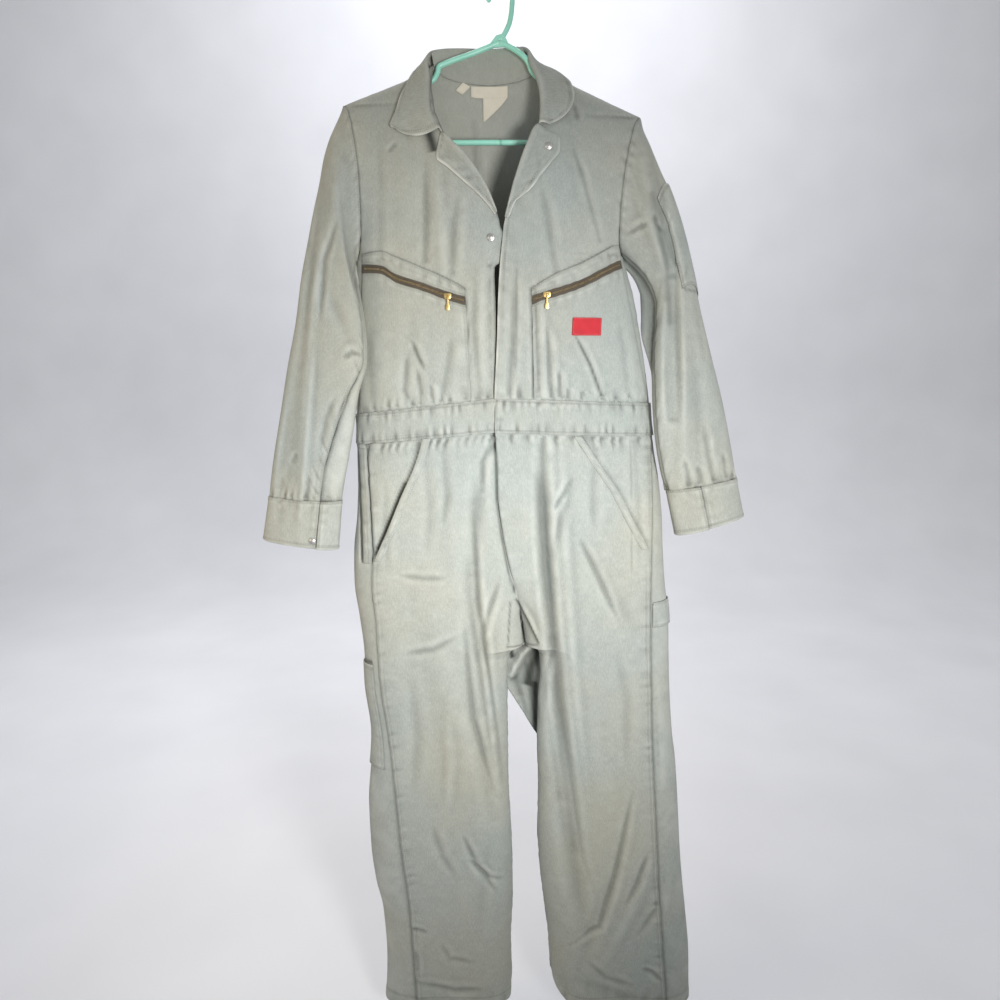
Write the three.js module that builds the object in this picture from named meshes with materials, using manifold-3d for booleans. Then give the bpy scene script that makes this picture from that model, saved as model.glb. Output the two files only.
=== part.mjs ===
// A boiler suit hanging on a plastic clothes hanger, as one rigid model.
// Millimetres, +Z up, front towards -Y. The origin is the inside top of the hanger's hook.
// Right and left are the wearer's, so the right side lies at -X.

import * as THREE from 'three';
import { mergeVertices } from 'three/addons/utils/BufferGeometryUtils.js';
import Module from 'manifold-3d';

const wasm = await Module();
wasm.setup();

// Driving dimensions of the cloth.
const clothWall = 1.2;
const doubledWall = 1.8;
const seamGap = 0.3;
const armholeGap = 2;
const edgeGap = 0.6;
const smallStep = 0.002;

// Finishes, as colour, roughness and metalness.
const finishes = {
  twill: [0x9a9c8b, 0.9, 0],
  label: [0xe9dfc8, 0.8, 0],
  patch: [0xc02a33, 0.75, 0],
  tape: [0x6a5240, 0.8, 0],
  brass: [0xb58f3e, 0.35, 1],
  steel: [0xc4c4c0, 0.3, 1],
  hanger: [0x8fd8bd, 0.4, 0],
};

const mix = (a, b, t) => a + (b - a) * t;
const clamp = (value, low, high) => Math.min(high, Math.max(low, value));
const smooth = (t) => clamp(t, 0, 1) ** 2 * (3 - 2 * clamp(t, 0, 1));
const radians = THREE.MathUtils.degToRad;

// Tables have named columns. The first column is the place of each row, rising or falling.
function table(names, rows) {
  return { key: names[0], rows: rows.map((row) => Object.fromEntries(names.map((name, i) => [name, row[i]]))) };
}

// Reads one column of a table at any place, on a smooth curve that never overshoots its rows.
function read({ key, rows }, name, at) {
  const rising = rows.at(-1)[key] > rows[0][key] ? 1 : -1;
  const last = rows.length - 2;
  const i = clamp(rows.findLastIndex((row) => (at - row[key]) * rising >= 0), 0, last);
  const slope = (k) => (rows[k + 1][name] - rows[k][name]) / (rows[k + 1][key] - rows[k][key]);
  const bend = (k) => {
    if (k === 0 || k > last) return slope(clamp(k, 0, last));
    const [before, after] = [slope(k - 1), slope(k)];
    return before * after > 0 ? (2 * before * after) / (before + after) : 0;
  };
  const span = rows[i + 1][key] - rows[i][key];
  const t = clamp((at - rows[i][key]) / span, 0, 1);
  const a = rows[i][name];
  const b = rows[i + 1][name];
  const ease = t * t * (3 - 2 * t);
  return mix(a, b, ease) + span * (t * (1 - t) ** 2 * bend(i) - t * t * (1 - t) * bend(i + 1));
}

// Large folds: each runs from one point to another on the front or back, in x and z.
// A positive height stands out from the body and a negative one sinks in.
function relief(folds, x, z) {
  let height = 0;
  for (const fold of folds.rows) {
    const [dx, dz] = [fold.x2 - fold.x1, fold.z2 - fold.z1];
    const along = ((x - fold.x1) * dx + (z - fold.z1) * dz) / (dx * dx + dz * dz);
    const t = clamp(along, 0, 1);
    const away = Math.hypot(x - fold.x1 - t * dx, z - fold.z1 - t * dz) / fold.width;
    height += fold.height * Math.exp(-away * away) * (0.35 + 0.65 * Math.sin(Math.PI * t));
  }
  return height;
}

const foldColumns = ['x1', 'z1', 'x2', 'z2', 'width', 'height'];
const bodyFolds = table(foldColumns, [
  [-178, -190, -206, -350, 16, -9],
  [-108, -235, -108, -400, 13, -5],
  [-150, -210, -140, -380, 16, 4],
  [-136, -500, -140, -630, 12, -5],
  [-186, -470, -176, -620, 16, 4],
  [-62, -470, -66, -600, 14, 3],
  [102, -190, 116, -330, 12, -4],
  [160, -215, 176, -370, 11, -4],
  [138, -230, 140, -390, 13, 4],
  [73, -470, 82, -630, 15, -5],
  [112, -515, 156, -625, 14, -3],
  [196, -430, 208, -600, 15, 4],
]);
const bodyBackFolds = table(foldColumns, [
  [-30, -190, -22, -600, 10, -6],
  [-120, -230, -112, -620, 15, -5],
  [90, -230, 96, -620, 15, -5],
  [-170, -300, -160, -600, 18, 5],
  [150, -300, 158, -600, 18, 5],
]);
const legFolds = table(foldColumns, [
  [-32, -690, -44, -890, 12, -8],
  [-64, -700, -78, -860, 16, 4],
  [-52, -880, -34, -1130, 13, -9],
  [-62, -1040, -12, -1330, 12, -8],
  [-20, -1000, 0, -1280, 9, 6],
  [-110, -900, -60, -1260, 26, 6],
  [-20, -1380, -40, -1560, 14, -5],
  [-130, -1690, -20, -1700, 12, -6],
  [56, -690, 84, -1010, 13, -14],
  [84, -1010, 104, -1290, 14, -15],
  [104, -1290, 148, -1540, 16, -13],
  [112, -740, 84, -860, 9, -5],
  [130, -850, 235, -1010, 17, -6],
  [150, -1180, 190, -1330, 24, 5],
  [210, -1400, 140, -1620, 15, -7],
  [258, -1440, 190, -1600, 12, 5],
  [120, -1640, 290, -1700, 14, -5],
]);
const legBackFolds = table(foldColumns, [
  [-120, -700, -110, -1000, 20, -6],
  [-150, -1050, -110, -1500, 22, -7],
  [-60, -980, -40, -1400, 16, -6],
  [120, -700, 118, -1000, 20, -6],
  [160, -1050, 190, -1500, 22, -7],
  [100, -980, 120, -1400, 16, -6],
]);
const sleeveFolds = table(foldColumns, [
  [-262, -240, -312, -560, 9, -6],
  [-236, -270, -290, -480, 11, 5],
  [-316, -560, -352, -800, 11, -7],
  [-262, -440, -232, -520, 9, -5],
  [-300, -640, -318, -830, 12, 5],
  [228, -220, 262, -420, 9, -9],
  [214, -260, 246, -420, 11, 7],
  [262, -430, 268, -640, 9, -12],
  [252, -470, 250, -640, 9, 6],
  [298, -520, 318, -740, 11, -8],
  [282, -560, 290, -760, 10, 5],
]);

// A wall from a grid of points on its outer face. normals point out of the cloth.
function wallGeometry(points, normals, thickness) {
  const rows = points.length;
  const columns = points[0].length;
  const inner = points.map((row, i) => row.map((p, j) => p.clone().addScaledVector(normals[i][j], -thickness)));
  const vertices = [points, inner].flatMap((layer) => layer.flat().flatMap((p) => p.toArray()));
  const at = (layer, i, j) => layer * rows * columns + i * columns + j;
  const index = [];
  const quad = (a, b, c, d) => index.push(a, b, c, a, c, d);
  const end = columns - 1;
  for (let i = 0; i < rows - 1; i++) {
    for (let j = 0; j < end; j++) {
      quad(at(0, i, j), at(0, i + 1, j), at(0, i + 1, j + 1), at(0, i, j + 1));
      quad(at(1, i, j), at(1, i, j + 1), at(1, i + 1, j + 1), at(1, i + 1, j));
    }
    quad(at(0, i, 0), at(1, i, 0), at(1, i + 1, 0), at(0, i + 1, 0));
    quad(at(0, i, end), at(0, i + 1, end), at(1, i + 1, end), at(1, i, end));
  }
  for (let j = 0; j < end; j++) {
    quad(at(0, 0, j), at(0, 0, j + 1), at(1, 0, j + 1), at(1, 0, j));
    quad(at(0, rows - 1, j), at(1, rows - 1, j), at(1, rows - 1, j + 1), at(0, rows - 1, j + 1));
  }
  const geometry = new THREE.BufferGeometry();
  geometry.setAttribute('position', new THREE.Float32BufferAttribute(vertices, 3));
  geometry.setIndex(index);
  return geometry;
}

// Samples a surface on a grid. surface(u, v) runs with u across and v down, both from 0 to 1,
// and u to the right as the piece is seen from outside. trims pull the edges in.
// From the row levelFrom on, the normals of the levelled end columns lie in the hanger's plane.
function sheetOf(surface, across, down, options = {}) {
  const { lift = 0, trims = {}, levelled = [], levelFrom = 0 } = options;
  const { top = seamGap / 2, bottom = seamGap / 2, start = seamGap / 2, end = seamGap / 2 } = trims;
  const points = down.map((v) => across.map((u) => surface(u, v)));
  const normals = down.map((v) => across.map((u) => {
    const alongU = surface(u + smallStep, v).sub(surface(u - smallStep, v));
    const alongV = surface(u, v + smallStep).sub(surface(u, v - smallStep));
    return alongV.cross(alongU).normalize();
  }));
  for (const side of levelled) {
    for (const row of normals.slice(levelFrom)) row.at(side === 'start' ? 0 : -1).setY(0).normalize();
  }
  const lifted = points.map((row, i) => row.map((p, j) => p.clone().addScaledVector(normals[i][j], lift)));
  const towards = (p, q, distance) => p.clone().add(q.clone().sub(p).setLength(distance));
  const last = lifted.length - 1;
  const moved = lifted.map((row) => row.map((p) => p.clone()));
  for (let j = 0; j < across.length; j++) {
    if (top) moved[0][j] = towards(lifted[0][j], lifted[1][j], top);
    if (bottom) moved[last][j] = towards(lifted[last][j], lifted[last - 1][j], bottom);
  }
  for (const row of moved) {
    const [first, second, beforeLast, final] = [row[0], row[1], row.at(-2), row.at(-1)];
    row[0] = towards(first, second, start);
    row[row.length - 1] = towards(final, beforeLast, end);
  }
  return { points: moved, normals };
}

const part = new THREE.Group();

function addPiece(name, geometry, finish) {
  const [color, roughness, metalness] = finishes[finish];
  const mesh = new THREE.Mesh(geometry, new THREE.MeshStandardMaterial({ color, roughness, metalness }));
  mesh.name = name;
  part.add(mesh);
  return mesh;
}

function addSheet(name, surface, across, down, options = {}) {
  const { points, normals } = sheetOf(surface, across, down, options);
  const geometry = wallGeometry(points, normals, options.wall ?? clothWall);
  return addPiece(name, geometry, options.finish ?? 'twill');
}

const evenly = (count) => Array.from({ length: count + 1 }, (_, i) => i / count);
// Steps that crowd together at both ends, or only at the first one.
const crowded = (count) => evenly(count).map((t) => (1 - Math.cos(Math.PI * t)) / 2);
const crowdedFirst = (count) => evenly(count).map((t) => 1 - Math.cos((Math.PI * t) / 2));

// The shoulder line, the armholes and the body's sides.
const shoulders = table(['x', 'z'], [
  [-239, -171], [-145, -136.5], [-100, -114], [62, -117], [114, -144], [214, -188],
]);
const armholes = {
  right: { tip: [-239, -171], under: [-226, -400], bow: 20, frontDepth: 30, backDepth: 26 },
  left: { tip: [214, -188], under: [192, -392], bow: -17, frontDepth: 30, backDepth: 26 },
};
const armholeAngles = [-90, -79, -69, -52, -35, -18, 0, 18, 36, 54, 72, 90].map(radians);
const sides = table(['z', 'right', 'left'], [
  [-388, -226, 191], [-400, -226, 194.5], [-457, -229, 212], [-503, -230, 221],
  [-550, -230, 230], [-606, -231, 239], [-640, -232, 244], [-690, -233, 250], [-744, -233, 260],
  [-800, -236, 267],
]);
const bodyDepths = { front: 52, back: 42 };
const ridgeRadius = 7.5;
const fallToFullDepth = 200;

function shoulderZ(x) {
  const rows = shoulders.rows;
  const i = clamp(rows.findLastIndex((row) => x >= row.x), 0, rows.length - 2);
  return mix(rows[i].z, rows[i + 1].z, (x - rows[i].x) / (rows[i + 1].x - rows[i].x));
}

// Where a height lies on an armhole: the sine of the angle round it, -1 at the tip and 1 underneath.
const armholeSine = ({ tip, under }, z) => clamp((2 * (tip[1] - z)) / (tip[1] - under[1]) - 1, -1, 1);

function bodyEdge(side, z) {
  const hole = armholes[side];
  if (z < hole.under[1]) return read(sides, side, z);
  const sine = armholeSine(hole, z);
  return mix(hole.tip[0], hole.under[0], (1 + sine) / 2) + hole.bow * Math.sqrt(1 - sine * sine);
}

// How far cloth that falls from the shoulder line stands from the hanger's plane.
function fallDepth(full, drop) {
  const onRidge = clamp(drop, 0, ridgeRadius);
  const ridge = Math.sqrt(ridgeRadius ** 2 - (ridgeRadius - onRidge) ** 2);
  return ridge + (full - ridgeRadius) * Math.sin((Math.PI / 2) * clamp(drop / fallToFullDepth, 0, 1));
}

const roundness = (s, power, root) => (1 - Math.min(1, Math.abs(s)) ** power) ** (1 / root);

const waistDepths = table(['z', 'front', 'back'], [[-380, 1, 1], [-560, 1, 1], [-640, 0.95, 0.9], [-690, 0.95, 0.9]]);

// Depth of the body's front or back at a point, as y.
function bodyY(layer, x, z) {
  const [right, left] = [bodyEdge('right', z), bodyEdge('left', z)];
  const s = (2 * x - right - left) / (left - right);
  const side = s < 0 ? 'right' : 'left';
  const hole = armholes[side];
  const full = bodyDepths[layer] * read(waistDepths, layer, clamp(z, -690, -380));
  const sine = armholeSine(hole, z);
  const inArmhole = z < hole.tip[1] && z > hole.under[1];
  const edgeDepth = inArmhole ? hole[`${layer}Depth`] * Math.sqrt(1 - sine * sine) : 0;
  const edgeFall = z < hole.tip[1] ? fallDepth(full, shoulderZ(bodyEdge(side, z)) - z) : 0;
  const root = 1 + smooth((hole.under[1] + 70 - z) / 70);
  const round = roundness(s, 3, root);
  const above = fallDepth(full, shoulderZ(x) - z);
  const neck = layer === 'back' ? 15 * Math.exp(-(((x + 18) / 62) ** 2) - ((z + 130) / 90) ** 2) : 0;
  const folds = relief(layer === 'front' ? bodyFolds : bodyBackFolds, x, z) * round;
  const depth = above + (edgeDepth - edgeFall) * (1 - round) + neck + folds;
  return layer === 'front' ? -depth : depth;
}

const onBody = (layer, x, z) => new THREE.Vector3(x, bodyY(layer, x, z), z);

// The waist seams. Heights run straight from each side to the middle.
const waist = {
  right: { x: -232, top: -638, bottom: -682 },
  middle: { x: -9, top: -612, bottom: -661 },
  left: { x: 246, top: -620, bottom: -668 },
};
function waistZ(edge, x) {
  const side = x < waist.middle.x ? waist.right : waist.left;
  return mix(waist.middle[edge], side[edge], clamp((x - waist.middle.x) / (side.x - waist.middle.x), 0, 1));
}

// The inner edge of each front, a row for each row of its grid: neck seam, lapel fold, then centre front.
const frontInner = {
  right: table(['row', 'x', 'z'], [
    [0, -100, -114], [1, -100.3, -116.2], [2, -101, -122], [3, -103, -150], [4, -97, -188], [5, -84, -219],
    [6, -56, -246], [7, -30, -282], [8, -12, -316], [9, -1, -347], [10, -4, -374], [11, -11, -404],
    [12, -13, -434], [13, -14, -470], [14, -15.5, -512], [15, -16, -548], [16, -13, -584], [17, -11, -612.2],
  ]),
  left: table(['row', 'x', 'z'], [
    [0, 62, -117], [1, 62.3, -119.2], [2, 63, -125], [3, 66, -148], [4, 64, -178], [5, 58, -203],
    [6, 46, -224], [7, 35, -250], [8, 24, -283], [9, 14, -318], [10, 6, -352], [11, 1, -400],
    [12, -1.5, -434], [13, -3, -470], [14, -4, -512], [15, -5.5, -548], [16, -7.5, -584], [17, -8.5, -612],
  ]),
};
const neckRows = 5;
const sideRows = frontInner.right.rows.length - armholeAngles.length;

// The outer edge of a body panel at one row of its grid: round the armhole, then down the side.
function outerEdge(side, row) {
  const hole = armholes[side];
  const last = armholeAngles.length - 1;
  if (row <= last) {
    const whole = clamp(Math.floor(row), 0, last - 1);
    const angle = mix(armholeAngles[whole], armholeAngles[whole + 1], row - whole);
    const z = mix(hole.tip[1], hole.under[1], (1 + Math.sin(angle)) / 2);
    return [bodyEdge(side, z), z];
  }
  const waistHeight = waist[side].top;
  const z = mix(hole.under[1], waistHeight, (row - last) / sideRows);
  return [bodyEdge(side, z), z];
}

// The row number picks a point on both edges. Between them the top rows follow the shoulder line.
function frontSurface(side) {
  const rows = frontInner[side];
  const count = rows.rows.length - 1;
  const linear = (name, row) => {
    const whole = clamp(Math.floor(row), 0, count - 1);
    return mix(rows.rows[whole][name], rows.rows[whole + 1][name], row - whole);
  };
  return (u, v) => {
    const row = v * count;
    const [outerX, outerZ] = outerEdge(side, row);
    const [innerX, innerZ] = [linear('x', row), linear('z', row)];
    const share = side === 'right' ? u : 1 - u;
    const x = mix(outerX, innerX, share);
    const [tipX, tipZ] = outerEdge(side, 0);
    const topLine = mix(tipZ, linear('z', 0), share);
    const shoulder = shoulderZ(mix(tipX, linear('x', 0), share)) - topLine;
    const fade = 1 - smooth(row / neckRows);
    return onBody('front', x, mix(outerZ, innerZ, share) + shoulder * fade);
  };
}

const frontRowsDown = evenly(frontInner.right.rows.length - 1);
function addFronts() {
  const fromSide = [0, 0.012, 0.05, 0.12, 0.21, 0.31, 0.41, 0.52, 0.63, 0.74, 0.85, 1];
  const across = { right: fromSide, left: fromSide.map((u) => 1 - u).reverse() };
  for (const side of ['right', 'left']) {
    const armholeTrim = armholeGap / 2;
    const trims = side === 'right' ? { start: armholeTrim } : { end: armholeTrim };
    addSheet(`front_${side}`, frontSurface(side), across[side], frontRowsDown, { trims });
  }
}

// The back's neck seam dips between the two neck points.
const neckline = table(['x', 'z'], [
  [-100, -114], [-85, -125], [-55, -130.5], [-19, -132], [17, -130.5], [47, -124.5], [62, -117],
]);

function backTop(x) {
  const inside = x > neckline.rows[0].x && x < neckline.rows.at(-1).x;
  return inside ? read(neckline, 'z', x) : shoulderZ(x);
}

function backSurface(u, v) {
  const count = frontInner.right.rows.length - 1;
  const row = v * count;
  const [rightX, rightZ] = outerEdge('right', row);
  const [leftX, leftZ] = outerEdge('left', row);
  const x = mix(rightX, leftX, u);
  const [topRightX, topRightZ] = outerEdge('right', 0);
  const [topLeftX, topLeftZ] = outerEdge('left', 0);
  const fade = (1 - clamp(row / (armholeAngles.length - 1), 0, 1)) ** 1.2;
  const rise = backTop(mix(topRightX, topLeftX, u)) - mix(topRightZ, topLeftZ, u);
  const waistX = mix(outerEdge('right', count)[0], outerEdge('left', count)[0], u);
  const seam = waistZ('top', waistX) - mix(waist.right.top, waist.left.top, u);
  return onBody('back', x, mix(rightZ, leftZ, u) + rise * fade + seam * smooth((v - 0.7) / 0.3));
}

// The share of the back's width, from its right side, where the waist seam is highest.
const waistPeak = (waist.middle.x - bodyEdge('right', waist.right.top))
  / (bodyEdge('left', waist.left.top) - bodyEdge('right', waist.right.top));

function addBack() {
  const [rightX, leftX] = [armholes.right.tip[0], armholes.left.tip[0]];
  const neckStops = neckline.rows.map((row) => (row.x - rightX) / (leftX - rightX));
  const shoulderStops = (from, to, count) => evenly(count).slice(1, -1).map((t) => mix(from, to, t));
  const across = [
    0, 0.008, 0.035, 0.1, ...shoulderStops(0.1, neckStops[0], 3), ...neckStops, waistPeak,
    ...shoulderStops(neckStops.at(-1), 0.9, 3), 0.9, 0.965, 0.992, 1,
  ].sort((a, b) => a - b);
  // The grid's u runs to the wearer's left, so the back's is turned round to face outwards.
  const turned = (u, v) => backSurface(1 - u, v);
  addSheet('back', turned, across.map((u) => 1 - u).reverse(), frontRowsDown,
    { trims: { start: armholeGap / 2, end: armholeGap / 2, bottom: edgeGap / 2 } });
}

// The waistband's three pieces lie between the body and the legs.
function addWaistband() {
  const down = evenly(2);
  const sideX = (side, v) => bodyEdge(side, mix(waist[side].top, waist[side].bottom, v));
  const band = (layer, start, end) => (u, v) => {
    const x = mix(start(v), end(v), u);
    return onBody(layer, x, mix(waistZ('top', x), waistZ('bottom', x), v));
  };
  const [right, left] = [(v) => sideX('right', v), (v) => sideX('left', v)];
  const frontEnd = (shift) => () => waist.middle.x + shift;
  const fromLeft = crowdedFirst(9).map((u) => 1 - u).reverse();
  const trims = { top: edgeGap / 2, bottom: edgeGap / 2 };
  addSheet('waistband_right', band('front', right, frontEnd(-5)), crowdedFirst(9), down,
    { trims, levelled: ['start'] });
  addSheet('waistband_left', band('front', frontEnd(1), left), fromLeft, down, { trims, levelled: ['end'] });
  const acrossBack = [...crowded(14), 1 - waistPeak].sort((a, b) => a - b);
  addSheet('waistband_back', band('back', left, right), acrossBack, down,
    { trims, levelled: ['start', 'end'] });
}

// A sleeve is a tube through rings that turn from upright at the armhole to level at the cuff.
// Each ring has an outer and an inner side point, its depths, and the angle of the front seam.
const sleeveColumns = [
  'row', 'outerX', 'outerZ', 'outerY', 'innerX', 'innerZ', 'innerY', 'front', 'back', 'bow', 'seam',
];
const sleeves = {
  right: table(sleeveColumns, [
    [0, -239, -171, 0, -226.5, -400.5, 0, 30, 26, 20, 72],
    [1, -246, -188, -1, -231, -411, -4, 31, 25, 17, 72],
    [2, -254, -205, -2, -231, -427, -17, 31, 24, 12, 72],
    [3, -262, -224, -3, -226, -449, -31, 31, 22, 8, 72],
    [4, -270, -250, -4, -219, -474, -39, 30, 20, 4, 72],
    [5, -277, -285, -6, -215, -500, -41, 29, 19, 2, 72],
    [6, -286, -322, -8, -213, -526, -42, 28, 19, 0, 72],
    [7, -296, -366, -10, -213, -554, -42, 28, 19, 0, 72],
    [8, -309, -425, -12, -218, -584, -40, 28, 19, 0, 66],
    [9, -320, -490, -12, -223, -614, -38, 28, 19, 0, 54],
    [10, -336, -560, -12, -231, -656, -34, 28, 19, 0, 42],
    [11, -352, -640, -12, -241, -706, -31, 28, 19, 0, 33],
    [12, -365, -704, -12, -249, -740, -28, 28, 20, 0, 29],
    [13, -376, -768, -12, -255, -774, -24, 28, 21, 0, 30],
    [14, -389, -838, -12, -264, -854, -22, 29, 22, 0, 32],
  ]),
  left: table(sleeveColumns, [
    [0, 214, -188, 0, 192, -392, 0, 30, 26, -17, 72],
    [1, 219, -205, -1, 203, -402, -5, 31, 26, -14, 72],
    [2, 227, -222, -2, 214, -413, -9, 31, 26, -10, 72],
    [3, 236, -243, -3, 226, -427, -12, 31, 25, -6, 72],
    [4, 247, -268, -4, 237, -446, -15, 30, 24, -3, 72],
    [5, 259, -293, -6, 244, -472, -18, 29, 23, 0, 72],
    [6, 271, -323, -8, 244, -502, -21, 28, 22, 0, 72],
    [7, 284, -362, -10, 241, -532, -24, 28, 20, 0, 72],
    [8, 299, -415, -11, 238, -565, -28, 28, 19, 0, 72],
    [9, 314, -475, -12, 239, -602, -31, 28, 19, 0, 72],
    [10, 334, -545, -12, 243, -652, -32, 28, 19, 0, 72],
    [11, 356, -621, -12, 251, -702, -31, 28, 19, 0, 72],
    [12, 371, -684, -12, 260, -738, -28, 28, 20, 0, 72],
    [13, 383, -738, -12, 267, -757, -24, 28, 21, 0, 72],
    [14, 398, -800, -12, 285, -830, -22, 29, 22, 0, 72],
  ]),
};
const cuffRow = 13;
const sleeveEnd = 14;
const sleeveStart = { upper: -111, seam: 72, under: 249 };

// A point on a sleeve. The angle is -90 on its outer side, 0 in front, 90 on its inner side and 180 behind.
function sleevePoint(side, degrees, row) {
  const [rows, angle] = [sleeves[side], radians(degrees)];
  const [sine, cosine] = [Math.sin(angle), Math.cos(angle)];
  const get = (name) => read(rows, name, row);
  const share = (1 + sine) / 2;
  const depth = cosine > 0 ? get('front') : get('back');
  const fullness = cosine < 0 && sine > 0 ? 1 : 0.72;
  const shape = Math.abs(cosine) ** mix(1, fullness, smooth(row / 3));
  const bow = get('bow') * Math.abs(cosine) * (1 - share * smooth(row / 2));
  const x = mix(get('outerX'), get('innerX'), share) + bow;
  const z = mix(get('outerZ'), get('innerZ'), share);
  const folds = cosine > 0 ? relief(sleeveFolds, x, z) * cosine * smooth(row / 2) : 0;
  const y = mix(get('outerY'), get('innerY'), share) - Math.sign(cosine) * shape * depth - folds;
  return new THREE.Vector3(x, y, z);
}

// The angle runs from one table angle to another. It falls on the left, where the outer side is at +X.
function sleeveSurface(side, from, to, firstRow, lastRow) {
  const seamShift = (degrees, row) => {
    const seam = read(sleeves[side], 'seam', row);
    const { upper, seam: atArmhole, under } = sleeveStart;
    const fixed = degrees <= atArmhole ? upper : under;
    return fixed + ((degrees - fixed) * (seam - fixed)) / (atArmhole - fixed);
  };
  return (u, v) => {
    const row = mix(firstRow, lastRow, v);
    return sleevePoint(side, seamShift(side === 'right' ? mix(from, to, u) : mix(to, from, u), row), row);
  };
}

const upperAngles = [-111, -90, -79, -69, -52, -35, -18, 0, 18, 36, 54, 72];
const underAngles = [72, 90, 108, 126, 144, 162, 180, 198, 215, 232, 249];

function addSleeve(side) {
  const trims = { top: armholeGap / 2 };
  const stops = (angles) => {
    const shares = angles.map((angle) => (angle - angles[0]) / (angles.at(-1) - angles[0]));
    return side === 'right' ? shares : shares.map((u) => 1 - u).reverse();
  };
  for (const [name, angles] of [['upper', upperAngles], ['under', underAngles]]) {
    const surface = sleeveSurface(side, angles[0], angles.at(-1), 0, cuffRow);
    addSheet(`sleeve_${side}_${name}`, surface, stops(angles), evenly(cuffRow), { trims });
  }
}

// A cuff is a band round the sleeve's end. Its front end stands over the other one.
const cuffSplit = { right: 31, left: 8 };
const cuffOverlap = 3.5;
function addCuff(side) {
  const split = cuffSplit[side];
  const turn = (u) => split + 358 * (side === 'right' ? u : 1 - u);
  const surface = (u, v) => {
    const degrees = turn(u);
    const beyond = (degrees - split) / 40;
    const point = sleevePoint(side, degrees, mix(cuffRow, sleeveEnd, v));
    return point.add(new THREE.Vector3(0, -cuffOverlap * (1 - smooth(beyond)), 0));
  };
  addSheet(`cuff_${side}`, surface, evenly(20), evenly(2), { wall: doubledWall });
}

// Each leg's grid: its inner edge (centre front or back, then inseam) and the height of its outer end.
const legColumns = ['row', 'innerX', 'innerZ', 'outerZ'];
const legs = {
  right: table(legColumns, [
    [0, -11, -661.6, -682.5], [1, -7, -715, -728], [2, -6, -768, -775], [3, 1, -820, -822], [4, 11, -872, -868],
    [5, 23, -925, -912], [6, 32, -968, -952], [7, 37.5, -1002, -990], [8, 40, -1024, -1024],
    [9, 26, -1030, -1050], [10, 16, -1042, -1075], [11, 13, -1072, -1104], [12, 13, -1130, -1146],
    [13, 14, -1200, -1206], [14, 15, -1272, -1274], [15, 19, -1345, -1345], [16, 22, -1420, -1420],
    [17, 23, -1500, -1500], [18, 20, -1580, -1580], [19, 22, -1645, -1645], [20, 19, -1700, -1700],
  ]),
  left: table(legColumns, [
    [0, -8.5, -661.6, -668.5], [1, -4, -715, -718], [2, -3, -768, -770], [3, 4, -820, -820], [4, 14, -872, -868],
    [5, 26, -925, -912], [6, 35, -968, -952], [7, 40.5, -1002, -990], [8, 43, -1024, -1024],
    [9, 56, -1028, -1050], [10, 66, -1040, -1075], [11, 68, -1068, -1104], [12, 65, -1125, -1146],
    [13, 64, -1200, -1206], [14, 67, -1282, -1280], [15, 66, -1362, -1354], [16, 71, -1440, -1428],
    [17, 80, -1515, -1502], [18, 87, -1572, -1576], [19, 90, -1614, -1645], [20, 93, -1646, -1704],
  ]),
};
const crotchRow = 8;
const crotchZ = -1024;
const legOutlines = {
  right: table(['z', 'side', 'seam'], [
    [-640, -232, -214], [-690, -233, -213], [-744, -233, -210], [-800, -236, -208], [-860, -243, -207],
    [-914, -244, -209], [-975, -237, -205], [-1037, -231, -203], [-1091, -230, -200], [-1182, -221, -189],
    [-1229, -224, -184], [-1314, -231, -177], [-1401, -229, -170], [-1466, -222, -162], [-1520, -211, -158],
    [-1612, -206, -153], [-1716, -211, -147],
  ]),
  left: table(['z', 'side', 'seam'], [
    [-640, 244, 238], [-690, 250, 243], [-744, 260, 244.5], [-800, 267, 245.5], [-860, 271, 246], [-914, 276, 246.5],
    [-975, 284, 248], [-1037, 287, 250], [-1091, 290, 253], [-1182, 298, 258], [-1229, 305, 261],
    [-1314, 313, 267], [-1401, 320, 274], [-1466, 327, 279], [-1520, 334, 284], [-1612, 344, 292],
    [-1716, 348, 303],
  ]),
};
const legDepths = table(['z', 'front', 'back'], [
  [-660, 50, 38], [-850, 46, 37], [-1020, 42, 35], [-1200, 38, 32], [-1450, 36, 30], [-1700, 35, 29],
]);
const legRound = { outer: 70, inner: 62 };
const hipBlend = 120;
const crotchFade = 150;

const quarter = (distance, width) => Math.sqrt(1 - (1 - clamp(distance / width, 0, 1)) ** 2);

function innerLine(side, z) {
  return read({ key: 'innerZ', rows: legs[side].rows }, 'innerX', z);
}

// How much of its depth a leg keeps beside its inner edge, and beside the fork above it.
function besideInseam(x, z) {
  const [right, left] = [innerLine('right', z), innerLine('left', z)];
  const middle = (right + left) / 2;
  const distance = x < middle ? right - x : x - left;
  const beside = quarter(distance, legRound.inner);
  return z > crotchZ ? mix(1, beside, smooth((crotchZ + crotchFade - z) / crotchFade)) : beside;
}

function legY(layer, x, z) {
  const outer = Math.min(x - read(legOutlines.right, 'side', z), read(legOutlines.left, 'side', z) - x);
  const round = quarter(outer, legRound.outer) * besideInseam(x, z);
  const folds = relief(layer === 'front' ? legFolds : legBackFolds, x, z) * round;
  const depth = read(legDepths, layer, z) * round;
  const share = smooth((waist.middle.bottom - z) / hipBlend);
  return mix(bodyY(layer, x, z), (layer === 'front' ? -1 : 1) * (depth + folds), share);
}

const onLeg = (layer, x, z) => new THREE.Vector3(x, legY(layer, x, z), z);

function legRow(side, row) {
  const get = (name) => read(legs[side], name, row);
  const [innerX, innerZ, outerZ] = [get('innerX'), get('innerZ'), get('outerZ')];
  const other = read(legs[side === 'right' ? 'left' : 'right'], 'innerX', row);
  const backX = mix((innerX + other) / 2, innerX, clamp(row - crotchRow, 0, 1));
  const outline = (name) => read(legOutlines[side], name, outerZ);
  return { innerX, innerZ, outerZ, backX, sideX: outline('side'), seamX: outline('seam') };
}

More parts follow.
